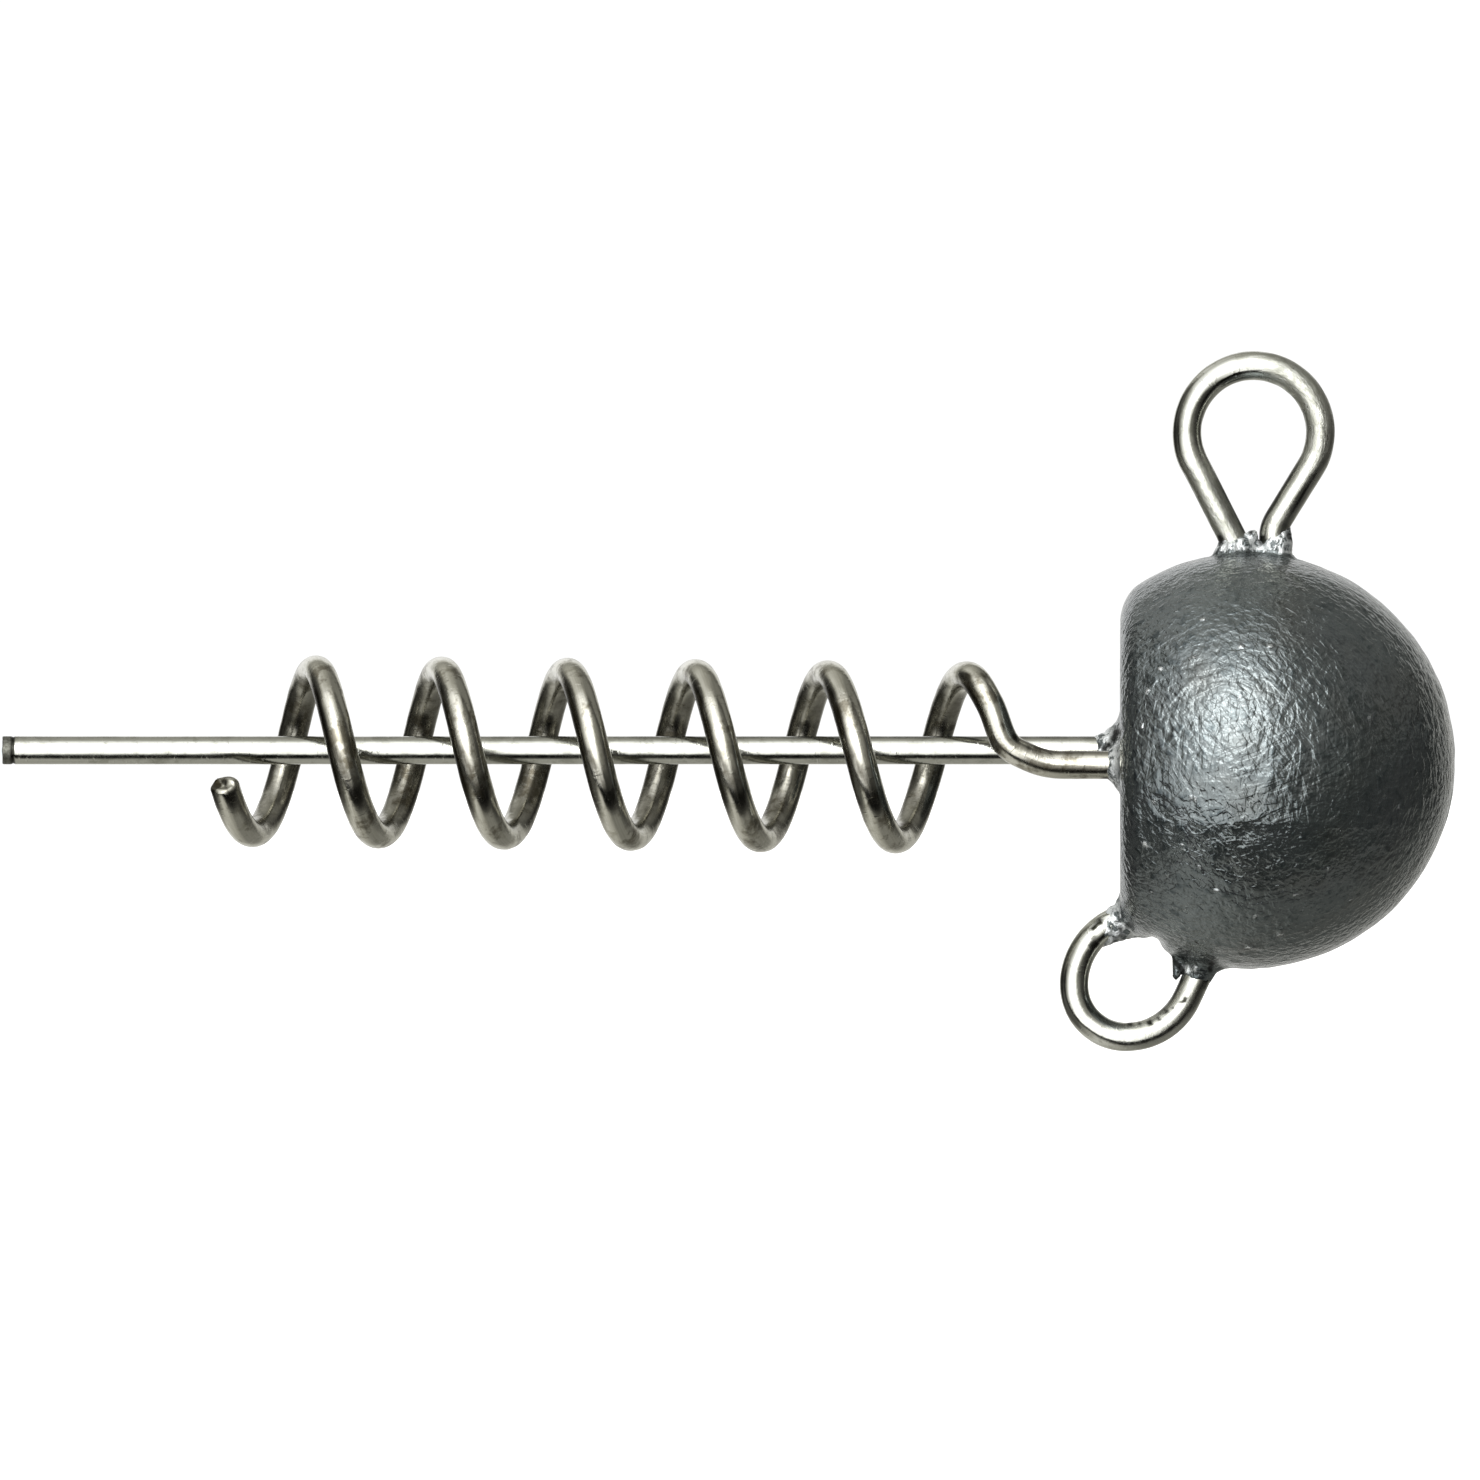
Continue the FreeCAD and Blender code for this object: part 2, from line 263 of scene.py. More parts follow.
# ------------------------------------------------------------- shared helpers
def make_noise(seed, wavelength):
    """Smooth random field over space with about this wavelength, roughly -1..1."""
    count = 28
    draw = np.random.default_rng(seed)
    directions = draw.normal(size=(count, 3))
    directions /= np.linalg.norm(directions, axis=1)[:, None]
    frequency = 2 * math.pi / (wavelength * draw.uniform(0.65, 1.6, count))
    phase = draw.uniform(0, 2 * math.pi, count)
    waves = directions * frequency[:, None]

    def field(points):
        total = np.zeros(len(points))
        for i in range(count):
            total += np.sin(points @ waves[i] + phase[i])
        return total / math.sqrt(count * 0.5) * 0.6
    return field


def smoothstep(start, end, value):
    """0 at start and 1 at end; start may be above end."""
    t = np.clip((value - start) / (end - start), 0, 1)
    return t * t * (3 - 2 * t)


def add_attribute(mesh, name, values, kind="FLOAT"):
    data = mesh.attributes.new(name, kind, "POINT").data
    field = "vector" if kind == "FLOAT_VECTOR" else "value"
    data.foreach_set(field, values.astype(np.float32).ravel())


def link_object(name, mesh):
    piece = bpy.data.objects.new(name, mesh)
    bpy.context.scene.collection.objects.link(piece)
    return piece


# ------------------------------------------------------------------- dark marks
# Small black marks on the near side, painted shade and dark reflection: x, z, radius, strength.
WIRE_MARKS = (
    (2.11, -8.09, 0.19, 1), (2.3, -8.43, 0.14, 0.9), (1.98, -8.47, 0.15, 0.7),
    (3.36, -8.21, 0.17, 1), (3.28, -8.55, 0.16, 1), (3.36, -7.91, 0.15, 0.9),
    (3.19, -8.89, 0.1, 0.6), (5.28, 7.93, 0.23, 1), (5.2, 8.19, 0.15, 0.8),
    (6.39, 8.08, 0.19, 0.9), (6.26, 8.42, 0.15, 0.6), (3.79, 7.93, 0.15, 0.9),
    (-1, -6.68, 0.15, 1), (-0.74, -6.45, 0.15, 1), (-0.98, -7.3, 0.17, 0.9),
    (-1.02, -7.04, 0.11, 0.7), (2.43, -9.38, 0.11, 1), (2.3, -9.51, 0.08, 0.9),
    (1.96, -9.72, 0.08, 0.9), (1.76, -9.85, 0.11, 1), (1.17, -10.28, 0.11, 1),
    (1.43, -10.11, 0.08, 0.9), (0.38, -10.28, 0.12, 0.9), (0.72, -10.3, 0.09, 0.8))
LEAD_MARKS = (
    (-0.83, 0.2, 0.13, 1), (-0.62, 0.06, 0.12, 1), (-0.45, 0.18, 0.11, 1),
    (-0.15, 0.65, 0.17, 1), (-0.21, 0.46, 0.11, 0.9), (-0.18, -1.61, 0.17, 1),
    (-0.26, -1.35, 0.11, 0.8), (1.96, -7.81, 0.11, 1), (2.09, -8, 0.11, 1),
    (2.22, -8.17, 0.12, 1), (2.36, -8.34, 0.12, 1), (1.95, -8.62, 0.13, 0.95),
    (3.43, -8.02, 0.13, 1), (3.37, -8.23, 0.14, 1), (2.87, -8.4, 0.09, 0.8),
    (-1, -6.68, 0.17, 1), (-0.74, -6.44, 0.15, 1), (-0.09, -6.44, 0.11, 0.9),
    (-0.02, -6.74, 0.11, 0.9), (0.04, -6.96, 0.1, 0.8), (-0.98, -7.34, 0.15, 0.9),
    (-0.19, -7.1, 0.11, 0.7), (0.3, -6.59, 0.11, 0.6), (-0.6, -6.3, 0.09, 0.6),
    (-0.53, -7.19, 0.1, 0.6), (5.35, 8.12, 0.15, 1), (5.3, 7.85, 0.15, 0.9),
    (4.92, 8.19, 0.1, 1), (6.37, 8.08, 0.15, 0.9), (3.79, 7.89, 0.15, 0.9),
    (4.79, 7.48, 0.09, 0.7))
CORK_MARKS = (
    (-4.41, 1, 0.08, 1), (-4.34, 0.88, 0.08, 0.9), (-3.96, 0.48, 0.11, 0.9),
    (-3.82, 0.34, 0.1, 0.8), (-3.39, 0.06, 0.08, 0.8), (-2.64, -0.11, 0.06, 0.8),
    (-0.42, -1.07, 0.1, 1), (-0.66, -1.03, 0.07, 0.7), (-5.02, 2.77, 0.09, 0.6),
    (-3.2, -0.7, 0.08, 0.5), (-2.73, -0.67, 0.07, 0.6), (-2.17, -0.62, 0.07, 0.6),
    (-0.85, -0.72, 0.07, 0.7), (-1.56, -0.72, 0.06, 0.5))


# painted shade at the black marks, on the near side only
def shade_marks_at(points, spots):
    ragged = 0.05 * make_noise(61, 0.5)(points)
    painted_shade = np.zeros(len(points))
    for x, z, radius, strength in spots:
        distance = np.hypot(points[:, 0] - x, points[:, 2] - z)
        distance = distance + ragged * min(1.0, radius / 0.15)
        spot = strength * smoothstep(radius * 1.35, radius * 0.65, distance)
        painted_shade = np.maximum(painted_shade, spot)
    return painted_shade * smoothstep(0.35, 0.05, points[:, 1])


# ------------------------------------------------------------------ wire meshes
# Rings of an end face, as shares of the wire's radius.
CAP_SHARES = (0.995, 0.98, 0.955, 0.92, 0.87, 0.80, 0.71, 0.60, 0.48, 0.36, 0.24, 0.12)


def edge_rise(share, width, height):
    """Rounded edge of an end face: nothing at the rim, full inside width."""
    t = min(1.0, (1.0 - share) / width)
    return height * math.sqrt(max(0.0, 1.0 - (1.0 - t) ** 2))


def tip_cap(share, angle):
    """The spike's tip: nearly flat, with low waves."""
    x, y = share * np.cos(angle), share * np.sin(angle)
    waves = 0.022 * np.sin(3.1 * x + 0.4) * share + 0.015 * np.sin(7 * y + 5 * x)
    return edge_rise(share, 0.08, 0.035) + waves


def coil_cap(share, angle):
    """Sheared end: half smooth, half torn away by the cutter, with a ridge between."""
    x, y = share * np.cos(angle), share * np.sin(angle)
    u = x * math.cos(0.7) + y * math.sin(0.7)
    v = -x * math.sin(0.7) + y * math.cos(0.7)
    step = 0.105 * smoothstep(-0.10, 0.22, u + 0.10 * np.sin(5 * v))
    ridge = 0.045 * np.exp(-((u - 0.22) / 0.13) ** 2)
    hollow = -0.05 * np.exp(-(((u + 0.35) / 0.35) ** 2 + (v / 0.6) ** 2))
    relief = (step + ridge + hollow) * (1 - share ** 4)
    return edge_rise(share, 0.32, 0.155) + relief + 0.02 * x


def plain_cap(share, angle):
    return edge_rise(share, 0.2, 0.08) + 0.0 * angle


def carried_frames(tangents):
    """Two cross axes carried along the wire without twist."""
    first = tangents[0]
    reference = np.array([0.0, 1.0, 0.0]) if abs(first[1]) < 0.9 else np.array([0.0, 0, 1.0])
    normals = np.zeros_like(tangents)
    for i, tangent in enumerate(tangents):
        carried = normals[i - 1] if i else reference
        normal = carried - tangent * (carried @ tangent)
        normals[i] = normal / np.linalg.norm(normal)
    return normals, np.cross(tangents, normals)


def sweep_wire(name, path, radius_at, start_cap, worn_at, painted_shade_on, shape_on=None):
    """A swept round wire of quads with shaped ends.

    radius_at(s, angle) gives the radius along the wire. A cap function gives how
    far the end face stands out at a share of the radius and an angle.
    """
    seg = WIRE_SEGMENTS
    path = np.asarray(path, float)
    path = path[np.r_[True, np.linalg.norm(np.diff(path, axis=0), axis=1) > 1e-6]]
    s = np.r_[0, np.cumsum(np.linalg.norm(np.diff(path, axis=0), axis=1))]
    tangents = np.gradient(path, s, axis=0)
    tangents /= np.linalg.norm(tangents, axis=1)[:, None]
    normals, binormals = carried_frames(tangents)
    angle = np.linspace(0, 2 * math.pi, seg, endpoint=False)
    cos_a, sin_a = np.cos(angle), np.sin(angle)
    rings, straight, centres = [], [], []

    def add_ring(i, share=1.0, out=0.0, side=1.0):
        """Ring at path point i; a cap ring stands out along side times the tangent."""
        radii = radius_at(s[i], angle) * share
        out = side * (out + np.zeros(seg))
        spokes = normals[i] * cos_a[:, None] + binormals[i] * sin_a[:, None]
        rings.append(path[i] + spokes * radii[:, None] + tangents[i] * out[:, None])
        straight.append(np.stack([s[i] + out, cos_a * radii, sin_a * radii], 1))
        centres.append(path[i])

    for share in reversed(CAP_SHARES):
        add_ring(0, share, start_cap(share, angle), side=-1.0)
    for i in range(len(path)):
        add_ring(i)
    for share in CAP_SHARES:
        add_ring(len(path) - 1, share, plain_cap(share, angle))

    verts = np.vstack(rings)
    straight = np.vstack(straight)
    centres = np.repeat(np.vstack(centres), seg, axis=0)
    if shape_on is not None:
        verts = centres + shape_on(verts - centres, centres)
    outward = verts - centres
    outward /= np.maximum(np.linalg.norm(outward, axis=1), 1e-6)[:, None]
    outward = np.vstack([outward, -tangents[:1], tangents[-1:]])

    faces = []
    for a in range(0, (len(rings) - 1) * seg, seg):
        for j in range(seg):
            k = (j + 1) % seg
            faces.append((a + j, a + k, a + seg + k, a + seg + j))
    # close each end with a centre vertex
    start_i, end_i = len(verts), len(verts) + 1
    last = len(verts) - seg
    verts = np.vstack([verts, verts[:seg].mean(0), verts[-seg:].mean(0)])
    straight = np.vstack([straight, [straight[:seg, 0].mean(), 0, 0],
                          [straight[-seg:, 0].mean(), 0, 0]])
    for j in range(seg):
        k = (j + 1) % seg
        faces.append((start_i, k, j))
        faces.append((end_i, last + j, last + k))

    mesh = bpy.data.meshes.new(name)
    mesh.from_pydata((verts * MM).tolist(), [], faces)
    mesh.validate()
    mesh.polygons.foreach_set("use_smooth", [True] * len(mesh.polygons))
    add_attribute(mesh, "straight", straight, "FLOAT_VECTOR")
    add_attribute(mesh, "worn", worn_at(straight[:, 0]))
    # painted shade and dark reflections, kept as a mesh attribute
    add_attribute(mesh, "painted_shade", painted_shade_on(verts, outward))
    mesh.update()
    return link_object(name, mesh)


wobble_long = make_noise(11, 3.0)
wobble_mid = make_noise(12, 0.9)
wobble_short = make_noise(13, 0.42)


def wobble_places(s, angle, shift=0.0):
    """Places in the noise fields for one ring of a wire."""
    along = np.full_like(angle, s * 0.8 + shift)
    return np.stack([along, np.cos(angle) * 0.9, np.sin(angle) * 0.9], 1)


def frame_radius(s, angle):
    """Drawn wire: nearly round, nicked and slightly swollen where it was bent."""
    ring = math.exp(-(((s - ring_mid) / 6.4) ** 4))
    hook = math.exp(-(((s - marks["hook_bottom"]) / 4.6) ** 4))
    bent = max(ring, hook)
    at = wobble_places(s, angle)
    radius = WIRE_R * (1.0 + 0.0035 * wobble_long(at) + (0.002 + 0.006 * bent) * wobble_mid(at)
                       + 0.004 * bent * wobble_short(at))
    radius = radius * (1.0 + 0.026 * bent)
    # raised on one side where the ring meets the back leg
    pinch = math.exp(-(((s - marks["ring_in"] - 0.25) / 0.55) ** 2))
    radius = radius + 0.030 * pinch * np.clip(-np.cos(angle - 1.5 * math.pi), 0, 1) ** 2
    if s < 1.2:
        # shallow groove behind the tip
        groove = 0.040 * math.exp(-(((s - 0.36) / 0.050) ** 2))
        radius = radius - groove * (0.75 + 0.25 * np.cos(angle + 0.5))
    return radius


def cork_radius(s, angle):
    at = wobble_places(s, angle, shift=50)
    return WIRE_R * (1.0 + 0.0055 * wobble_long(at) + 0.006 * wobble_mid(at)
                     + 0.004 * wobble_short(at))


def coil_flatten(offsets, centres):
    """Wire wound on a mandrel spreads a little along the coil and thins across it."""
    x, y, z = centres.T
    radial = np.stack([np.zeros(len(centres)), y, z - COIL_AXIS_Z], 1)
    radial /= np.maximum(np.linalg.norm(radial, axis=1), 1e-6)[:, None]
    on_coil = smoothstep(-4.9, -6.0, x)[:, None]
    along = offsets * [1.0, 0.0, 0.0]
    across = (offsets * radial).sum(1)[:, None] * radial
    return offsets + on_coil * (0.055 * along - 0.015 * across)


def frame_worn(s):
    """Rubbed by bending: the line ring's front half, the legs' feet, the hook eye."""
    ring = (smoothstep(ring_mid - 0.8, ring_mid + 1.2, s)
            * smoothstep(marks["ring_out"] + 1.5, marks["ring_out"] - 1.5, s))
    from_back = s - marks["back_entry"]
    back_foot = 0.95 * smoothstep(-1.0, 0.0, from_back) * smoothstep(5.2, 2.6, from_back)
    front_foot = 0.5 * smoothstep(1.4, 0.3, np.abs(s - marks["front_bend"] - 0.2))
    hook = (0.30 * smoothstep(marks["hook_out"] - 1.5, marks["hook_out"], s)
            * smoothstep(marks["hook_bottom"] + 1.5, marks["hook_bottom"], s))
    return np.maximum(np.maximum(ring, back_foot), np.maximum(front_foot, hook))


def cork_worn(s):
    return np.full_like(s, 0.12)


def frame_painted_shade(points, outward):
    """Painted shade and dark reflections: black marks, the corner between the legs, the hook
    eye's inner side, and lines along the spike.
    """
    x, _, z = points.T
    nx, _, nz = outward.T
    painted_shade = shade_marks_at(points, WIRE_MARKS)
    noise = make_noise(62, 0.9)(points)
    wave = 0.08 * noise
    legs = smoothstep(7.6, 8.0, z)
    back_leg = legs * smoothstep(11.2, 9.4, z) * smoothstep(4.9, 4.6, x)
    front_leg = legs * smoothstep(11.6, 10.2, z) * smoothstep(4.9, 5.1, x)
    # painted shade on the back leg; facing: how far the surface turns forward and up, square to
    # the back leg
    facing = nx * 0.893 + nz * 0.451 + wave
    painted_shade = np.maximum(painted_shade, 0.50 * back_leg * smoothstep(0.12, 0.42, facing)
                       + 0.35 * back_leg * smoothstep(0.78, 0.93, facing))
    # painted shade on the front leg's side that faces the back leg
    facing = nx * 0.852 - nz * 0.524 + wave
    painted_shade = np.maximum(painted_shade, 0.85 * front_leg * smoothstep(-0.66, -0.84, facing))
    # painted shade on the hook eye's inner side, below the lead
    hook = smoothstep(1.0, 1.6, x) * smoothstep(-8.4, -8.7, z)
    facing = (nx - nz) * 0.7071 + wave
    painted_shade = np.maximum(painted_shade, 0.70 * hook * smoothstep(-0.62, -0.80, facing))
    # painted dark reflection bands along the spike: one under its middle, one along its top
    spike = smoothstep(1.0, -0.2, x) * smoothstep(2.0, 1.0, np.abs(z))
    facing = nz + 0.25 * wave
    line = 0.80 * smoothstep(-0.20, -0.27, facing) * smoothstep(-0.46, -0.36, facing)
    crown = (0.30 + 0.35 * smoothstep(-34.0, -5.0, x)) * smoothstep(0.76, 0.88, facing)
    return np.maximum(painted_shade, spike * np.maximum(line, crown))


def cork_painted_shade(points, outward):
    """Painted shade on the coil's far side and on the faces turned inward and back, and painted
    dark reflections.
    """
    x, y, z = points.T
    nx, _, nz = outward.T
    wave = 0.10 * make_noise(63, 1.1)(points)
    above_axis = z - COIL_AXIS_Z
    coil = smoothstep(-5.8, -7.0, x)
    far = 0.60 * smoothstep(-0.4, 1.9, y)
    inward = 0.42 * smoothstep(3.2, 2.75, np.hypot(y, above_axis)) * coil
    # painted dark reflection on the back-facing side of the wire
    edge = (0.95 * smoothstep(0.50, 0.78, -nx + wave) * smoothstep(0.4, -0.8, y)
            * smoothstep(-4.0, -5.0, x))
    edge = edge * smoothstep(3.05, 2.2, z) * smoothstep(-3.2, -1.8, z)
    edge = np.maximum(edge, shade_marks_at(points, CORK_MARKS))
    # painted dark reflection: a crescent low on the near side of each turn
    middle = -0.62 + 0.43 * (0.5 - above_axis)
    crescent = (0.80 * np.exp(-((nx + 0.6 * wave - middle) / 0.36) ** 2)
                * smoothstep(0.8, 0.1, above_axis) * smoothstep(-2.3, -1.6, above_axis))
    edge = np.maximum(edge, crescent * smoothstep(-1.0, -1.8, y) * coil)
    # painted dark reflection bands along the tail
    tail = smoothstep(-4.4, -3.2, x)
    facing = nz + 0.25 * wave
    line = smoothstep(-0.02, -0.12, facing) * smoothstep(-0.60, -0.50, facing)
    edge = np.maximum(edge, tail * 0.85 * line)
    edge = np.maximum(edge, tail * 0.65 * smoothstep(0.70, 0.84, facing))
    # less painted shade on the underside
    under = smoothstep(-2.0, -2.9, z) * smoothstep(0.0, 0.5, -nz)
    return np.maximum(np.maximum(far, inward) * (1 - 0.75 * under), edge)


frame_wire = sweep_wire("frame_wire_drawn", frame_points, frame_radius, tip_cap,
                        frame_worn, frame_painted_shade)
corkscrew = sweep_wire("corkscrew_coiled", cork_points, cork_radius, coil_cap,
                       cork_worn, cork_painted_shade, shape_on=coil_flatten)


# ---------------------------------------------------------- lead: distance field
def capsule(points, start, end, start_r, end_r):
    """Distance to a capsule whose radius changes from start to end."""
    start, end = np.asarray(start, float), np.asarray(end, float)
    run = end - start
    t = np.clip(((points - start) @ run) / (run @ run), 0, 1)
    distance = np.linalg.norm(points - start - t[:, None] * run, axis=1)
    return distance - (start_r + (end_r - start_r) * t)


def sphere(points, centre, radius):
    return np.linalg.norm(points - np.asarray(centre, float), axis=1) - radius


def round_union(a, b, r):
    """a and b together, with the corner between them filled by r."""
    u = np.sqrt(np.maximum(r - a, 0) ** 2 + np.maximum(r - b, 0) ** 2)
    return np.maximum(r, np.minimum(a, b)) - u


def round_cut(a, b, r):
    """a without b, with the edge rounded by r."""
    u = np.sqrt(np.maximum(r + a, 0) ** 2 + np.maximum(r - b, 0) ** 2)
    return np.minimum(-r, np.maximum(a, -b)) + u


def slant(heading):
    a = math.radians(heading)
    return np.array([math.cos(a), 0.0, math.sin(a)])


# Teardrop relief: x, z, radius of its wide and narrow ends.
RELIEF_WIDE = (0.30, -8.82, 1.46)
RELIEF_NARROW = (1.19, -7.36, 0.36)


def relief_dist(points):
    """Teardrop prism across the casting that keeps the hook eye open."""
    start, end = np.array(RELIEF_WIDE[:2]), np.array(RELIEF_NARROW[:2])
    wide_r, narrow_r = RELIEF_WIDE[2], RELIEF_NARROW[2]
    offset = points[:, [0, 2]] - start
    run = end - start
    length = np.linalg.norm(run)
    axis = run / length
    x = offset @ axis
    y = np.abs(offset @ np.array([-axis[1], axis[0]]))
    sin_t = (wide_r - narrow_r) / length
    cos_t = math.sqrt(1 - sin_t * sin_t)
    side = y * cos_t + x * sin_t - wide_r
    along = x * cos_t - y * sin_t
    wide_end = np.hypot(x, y) - wide_r
    narrow_end = np.hypot(x - length, y) - narrow_r
    return np.where(along < 0, wide_end, np.where(along > cos_t * length, narrow_end, side))


hook_in, hook_out = places["hook_in"], places["hook_out"]
hook_in_dir, hook_out_dir = slant(HOOK_END_RISE), slant(HEADING_HOOK)

# Lead drawn up round the wires, in order of joining:
# start, end, radius at start, radius at end, share of raggedness, joining radius.
UPPER_COLLARS = (
    # the spike, and less round the corkscrew's tail
    ((1.0, 0, 0.05), (-0.80, 0, 0.03), 0.58, 0.50, 0.5, 1.12),
    ((1.0, TAIL_Y, TAIL_Z), (-0.20, TAIL_Y, TAIL_Z), 0.60, 0.54, 0.5, 0.70),
    # the line eye: fat on the back leg, then a collar and a thin skin on the front leg
    ((4.52, 0, 6.4), (4.36, 0, 7.44), 0.82, 0.77, 1.0, 0.30),
    ((5.80, 0, 6.4), (5.80, 0, 7.66), 0.74, 0.61, 0.7, 0.26),
    ((5.98, 0, 7.0), (5.97, 0, 8.22), 0.48, 0.44, 0.4, 0.20))
HOOK_COLLARS = (
    # the hook eye's back end: a lug, and two lips along the wire
    (hook_in + hook_in_dir * 1.3, hook_in + hook_in_dir * 0.10, 0.70, 0.555, 0.5, 0.42),
    ((0.35, 0, -6.66), (-0.66, 0, -6.99), 0.40, 0.35, 0.4, 0.14),
    (hook_in + hook_in_dir * 0.2 - np.array([0, 0, 0.05]),
     hook_in - slant(34.0) * 0.62 - np.array([0, 0, 0.04]), 0.56, 0.50, 0.7, 0.12),
    # its front end: a short collar, with a spur inside the ring
    (hook_out - hook_out_dir * 2.3, hook_out - hook_out_dir * 1.00, 0.82, 0.565, 0.8, 0.36),
    ((2.30, 0, -7.45), (2.10, 0, -8.50), 0.34, 0.12, 0.3, 0.16))

ragged_long = make_noise(21, 1.1)
ragged_short = make_noise(22, 0.55)


def lead_dist(points):
    """Signed distance to the whole casting, before its surface relief."""
    ragged = 0.05 * ragged_long(points) + 0.04 * ragged_short(points)

    def join(body, collars):
        for start, end, start_r, end_r, share, blend in collars:
            collar = capsule(points, start, end, start_r, end_r)
            body = round_union(body, collar + ragged * share, blend)
        return body

    body = round_cut(sphere(points, BALL_C, BALL_R), points[:, 0], RIM_R)
    body = round_cut(body, relief_dist(points), 0.30)
    body = join(body, UPPER_COLLARS)
    # lumps and a droplet of lead between the legs
    web = np.minimum(sphere(points, (5.16, -0.22, 7.36), 0.32),
                     sphere(points, (5.02, 0.22, 7.42), 0.34))
    web = np.minimum(web, capsule(points, (5.26, -0.14, 7.45), (5.00, -0.16, 7.86), 0.17, 0.12))
    web = round_union(web, sphere(points, (4.99, -0.16, 8.08), 0.20), 0.06)
    body = round_union(body, web + ragged * 0.3, 0.12)
    return join(body, HOOK_COLLARS)


def sample_field(field, axes):
    """Field on the grid; exact near the surface, and only its sign elsewhere."""
    xs, ys, zs = axes
    values = np.empty([len(a) for a in axes], np.float64)
    columns = np.stack(np.meshgrid(ys, zs, indexing="ij"), -1).reshape(-1, 2)
    for i, x in enumerate(xs):
        points = np.column_stack([np.full(len(columns), x), columns])
        rough = sphere(points, BALL_C, BALL_R)
        near = (np.abs(rough) < 3.2) | (points[:, 0] < 1.4)
        near &= ~((rough > 0.9) & (np.abs(points[:, 1]) > 2.6))
        layer = np.where(rough > 0, 1.0, -1.0)
        layer[near] = field(points[near])
        values[i] = layer.reshape(len(ys), len(zs))
    return values


def surface_net(field, low, high, grid):
    """Quads of the zero surface of field, one vertex per crossed cell."""
    n = np.ceil((high - low) / grid).astype(int) + 1
    F = sample_field(field, [low[i] + grid * np.arange(n[i]) for i in range(3)])
    inside = F < 0
    count = inside.astype(np.int8)
    corners = [(i, j, k) for i in (0, 1) for j in (0, 1) for k in (0, 1)]
    total = sum(count[i:i + n[0] - 1, j:j + n[1] - 1, k:k + n[2] - 1] for i, j, k in corners)
    active = (total > 0) & (total < 8)
    ids = -np.ones(active.shape, np.int64)
    cells = np.argwhere(active)
    ids[tuple(cells.T)] = np.arange(len(cells))

    # each vertex is the mean of its cell's edge crossings
    crossings = np.zeros((len(cells), 3))
    hits = np.zeros(len(cells))
    for a in corners:
        for axis in range(3):
            if a[axis] == 1:
                continue
            b = list(a)
            b[axis] = 1
            value_a = F[tuple((cells + a).T)]
            value_b = F[tuple((cells + b).T)]
            cross = (value_a < 0) != (value_b < 0)
            t = np.where(cross, value_a / np.where(cross, value_a - value_b, 1), 0)
            p = np.tile(np.array(a, float), (len(cells), 1))
            p[:, axis] += t
            crossings[cross] += p[cross]
            hits[cross] += 1
    verts = low + grid * (cells + crossings / hits[:, None])

    # each crossed grid edge joins the four cells round it
    quads = []
    for axis in range(3):
        u, v = (axis + 1) % 3, (axis + 2) % 3
        lower = np.take(inside, range(n[axis] - 1), axis)
        upper = np.take(inside, range(1, n[axis]), axis)
        edges = np.argwhere(lower != upper)
        edges = edges[(edges[:, u] > 0) & (edges[:, v] > 0)
                      & (edges[:, u] < n[u] - 1) & (edges[:, v] < n[v] - 1)]
        starts_inside = lower[tuple(edges.T)]
        quad = []
        for du, dv in ((1, 1), (0, 1), (0, 0), (1, 0)):
            cell = edges.copy()
            cell[:, u] -= du
            cell[:, v] -= dv
            quad.append(ids[tuple(cell.T)])
        quad = np.stack(quad, 1)
        quad[~starts_inside] = quad[~starts_inside][:, ::-1]
        quads.append(quad)
    quads = np.vstack(quads)
    return verts, quads[(quads >= 0).all(1)]


def project(verts, field, rounds=2, delta=0.004):
    """Move vertices onto the field's surface; also gives the surface normals."""
    for _ in range(rounds):
        distance = field(verts)
        gradient = np.empty_like(verts)
        for axis in range(3):
            o = np.zeros(3)
            o[axis] = delta
            gradient[:, axis] = (field(verts + o) - field(verts - o)) / (2 * delta)
        squared = np.maximum((gradient * gradient).sum(1), 0.25)
        verts = verts - np.clip(distance / squared, -0.06, 0.06)[:, None] * gradient
    return verts, gradient / np.linalg.norm(gradient, axis=1)[:, None]


# ---------------------------------------------------------- lead: surface relief
# Marks on the ball's near side: x, z, radius, depth, width across / radius, turn.
# Those with a negative depth are raised nibs.
BALL_MARKS = (
    (0.94, -3.58, 0.20, 0.060, 1, 0), (2.38, -3.58, 0.19, 0.055, 1, 0),
    (5.09, -6.25, 0.13, 0.050, 1, 0), (2.72, -1.88, 0.15, 0.045, 1, 0),
    (2.72, 3.14, 0.14, 0.045, 1, 0), (3.40, -3.30, 0.13, 0.035, 1, 0),
    (6.10, 4.40, 0.14, 0.035, 1, 0), (1.60, 1.20, 0.16, 0.040, 1, 0),
    (1.30, 0.10, 0.14, 0.030, 1, 0), (8.20, -2.60, 0.15, 0.030, 1, 0),
    (7.30, 2.40, 0.13, 0.030, 1, 0), (6.02, -6.78, 0.34, -0.075, 0.55, 0.2),
    (6.38, -6.45, 0.22, -0.050, 1, 0), (4.95, -7.35, 0.24, -0.060, 1.5, 0),
    (6.00, -7.02, 0.18, 0.030, 0.6, 0))
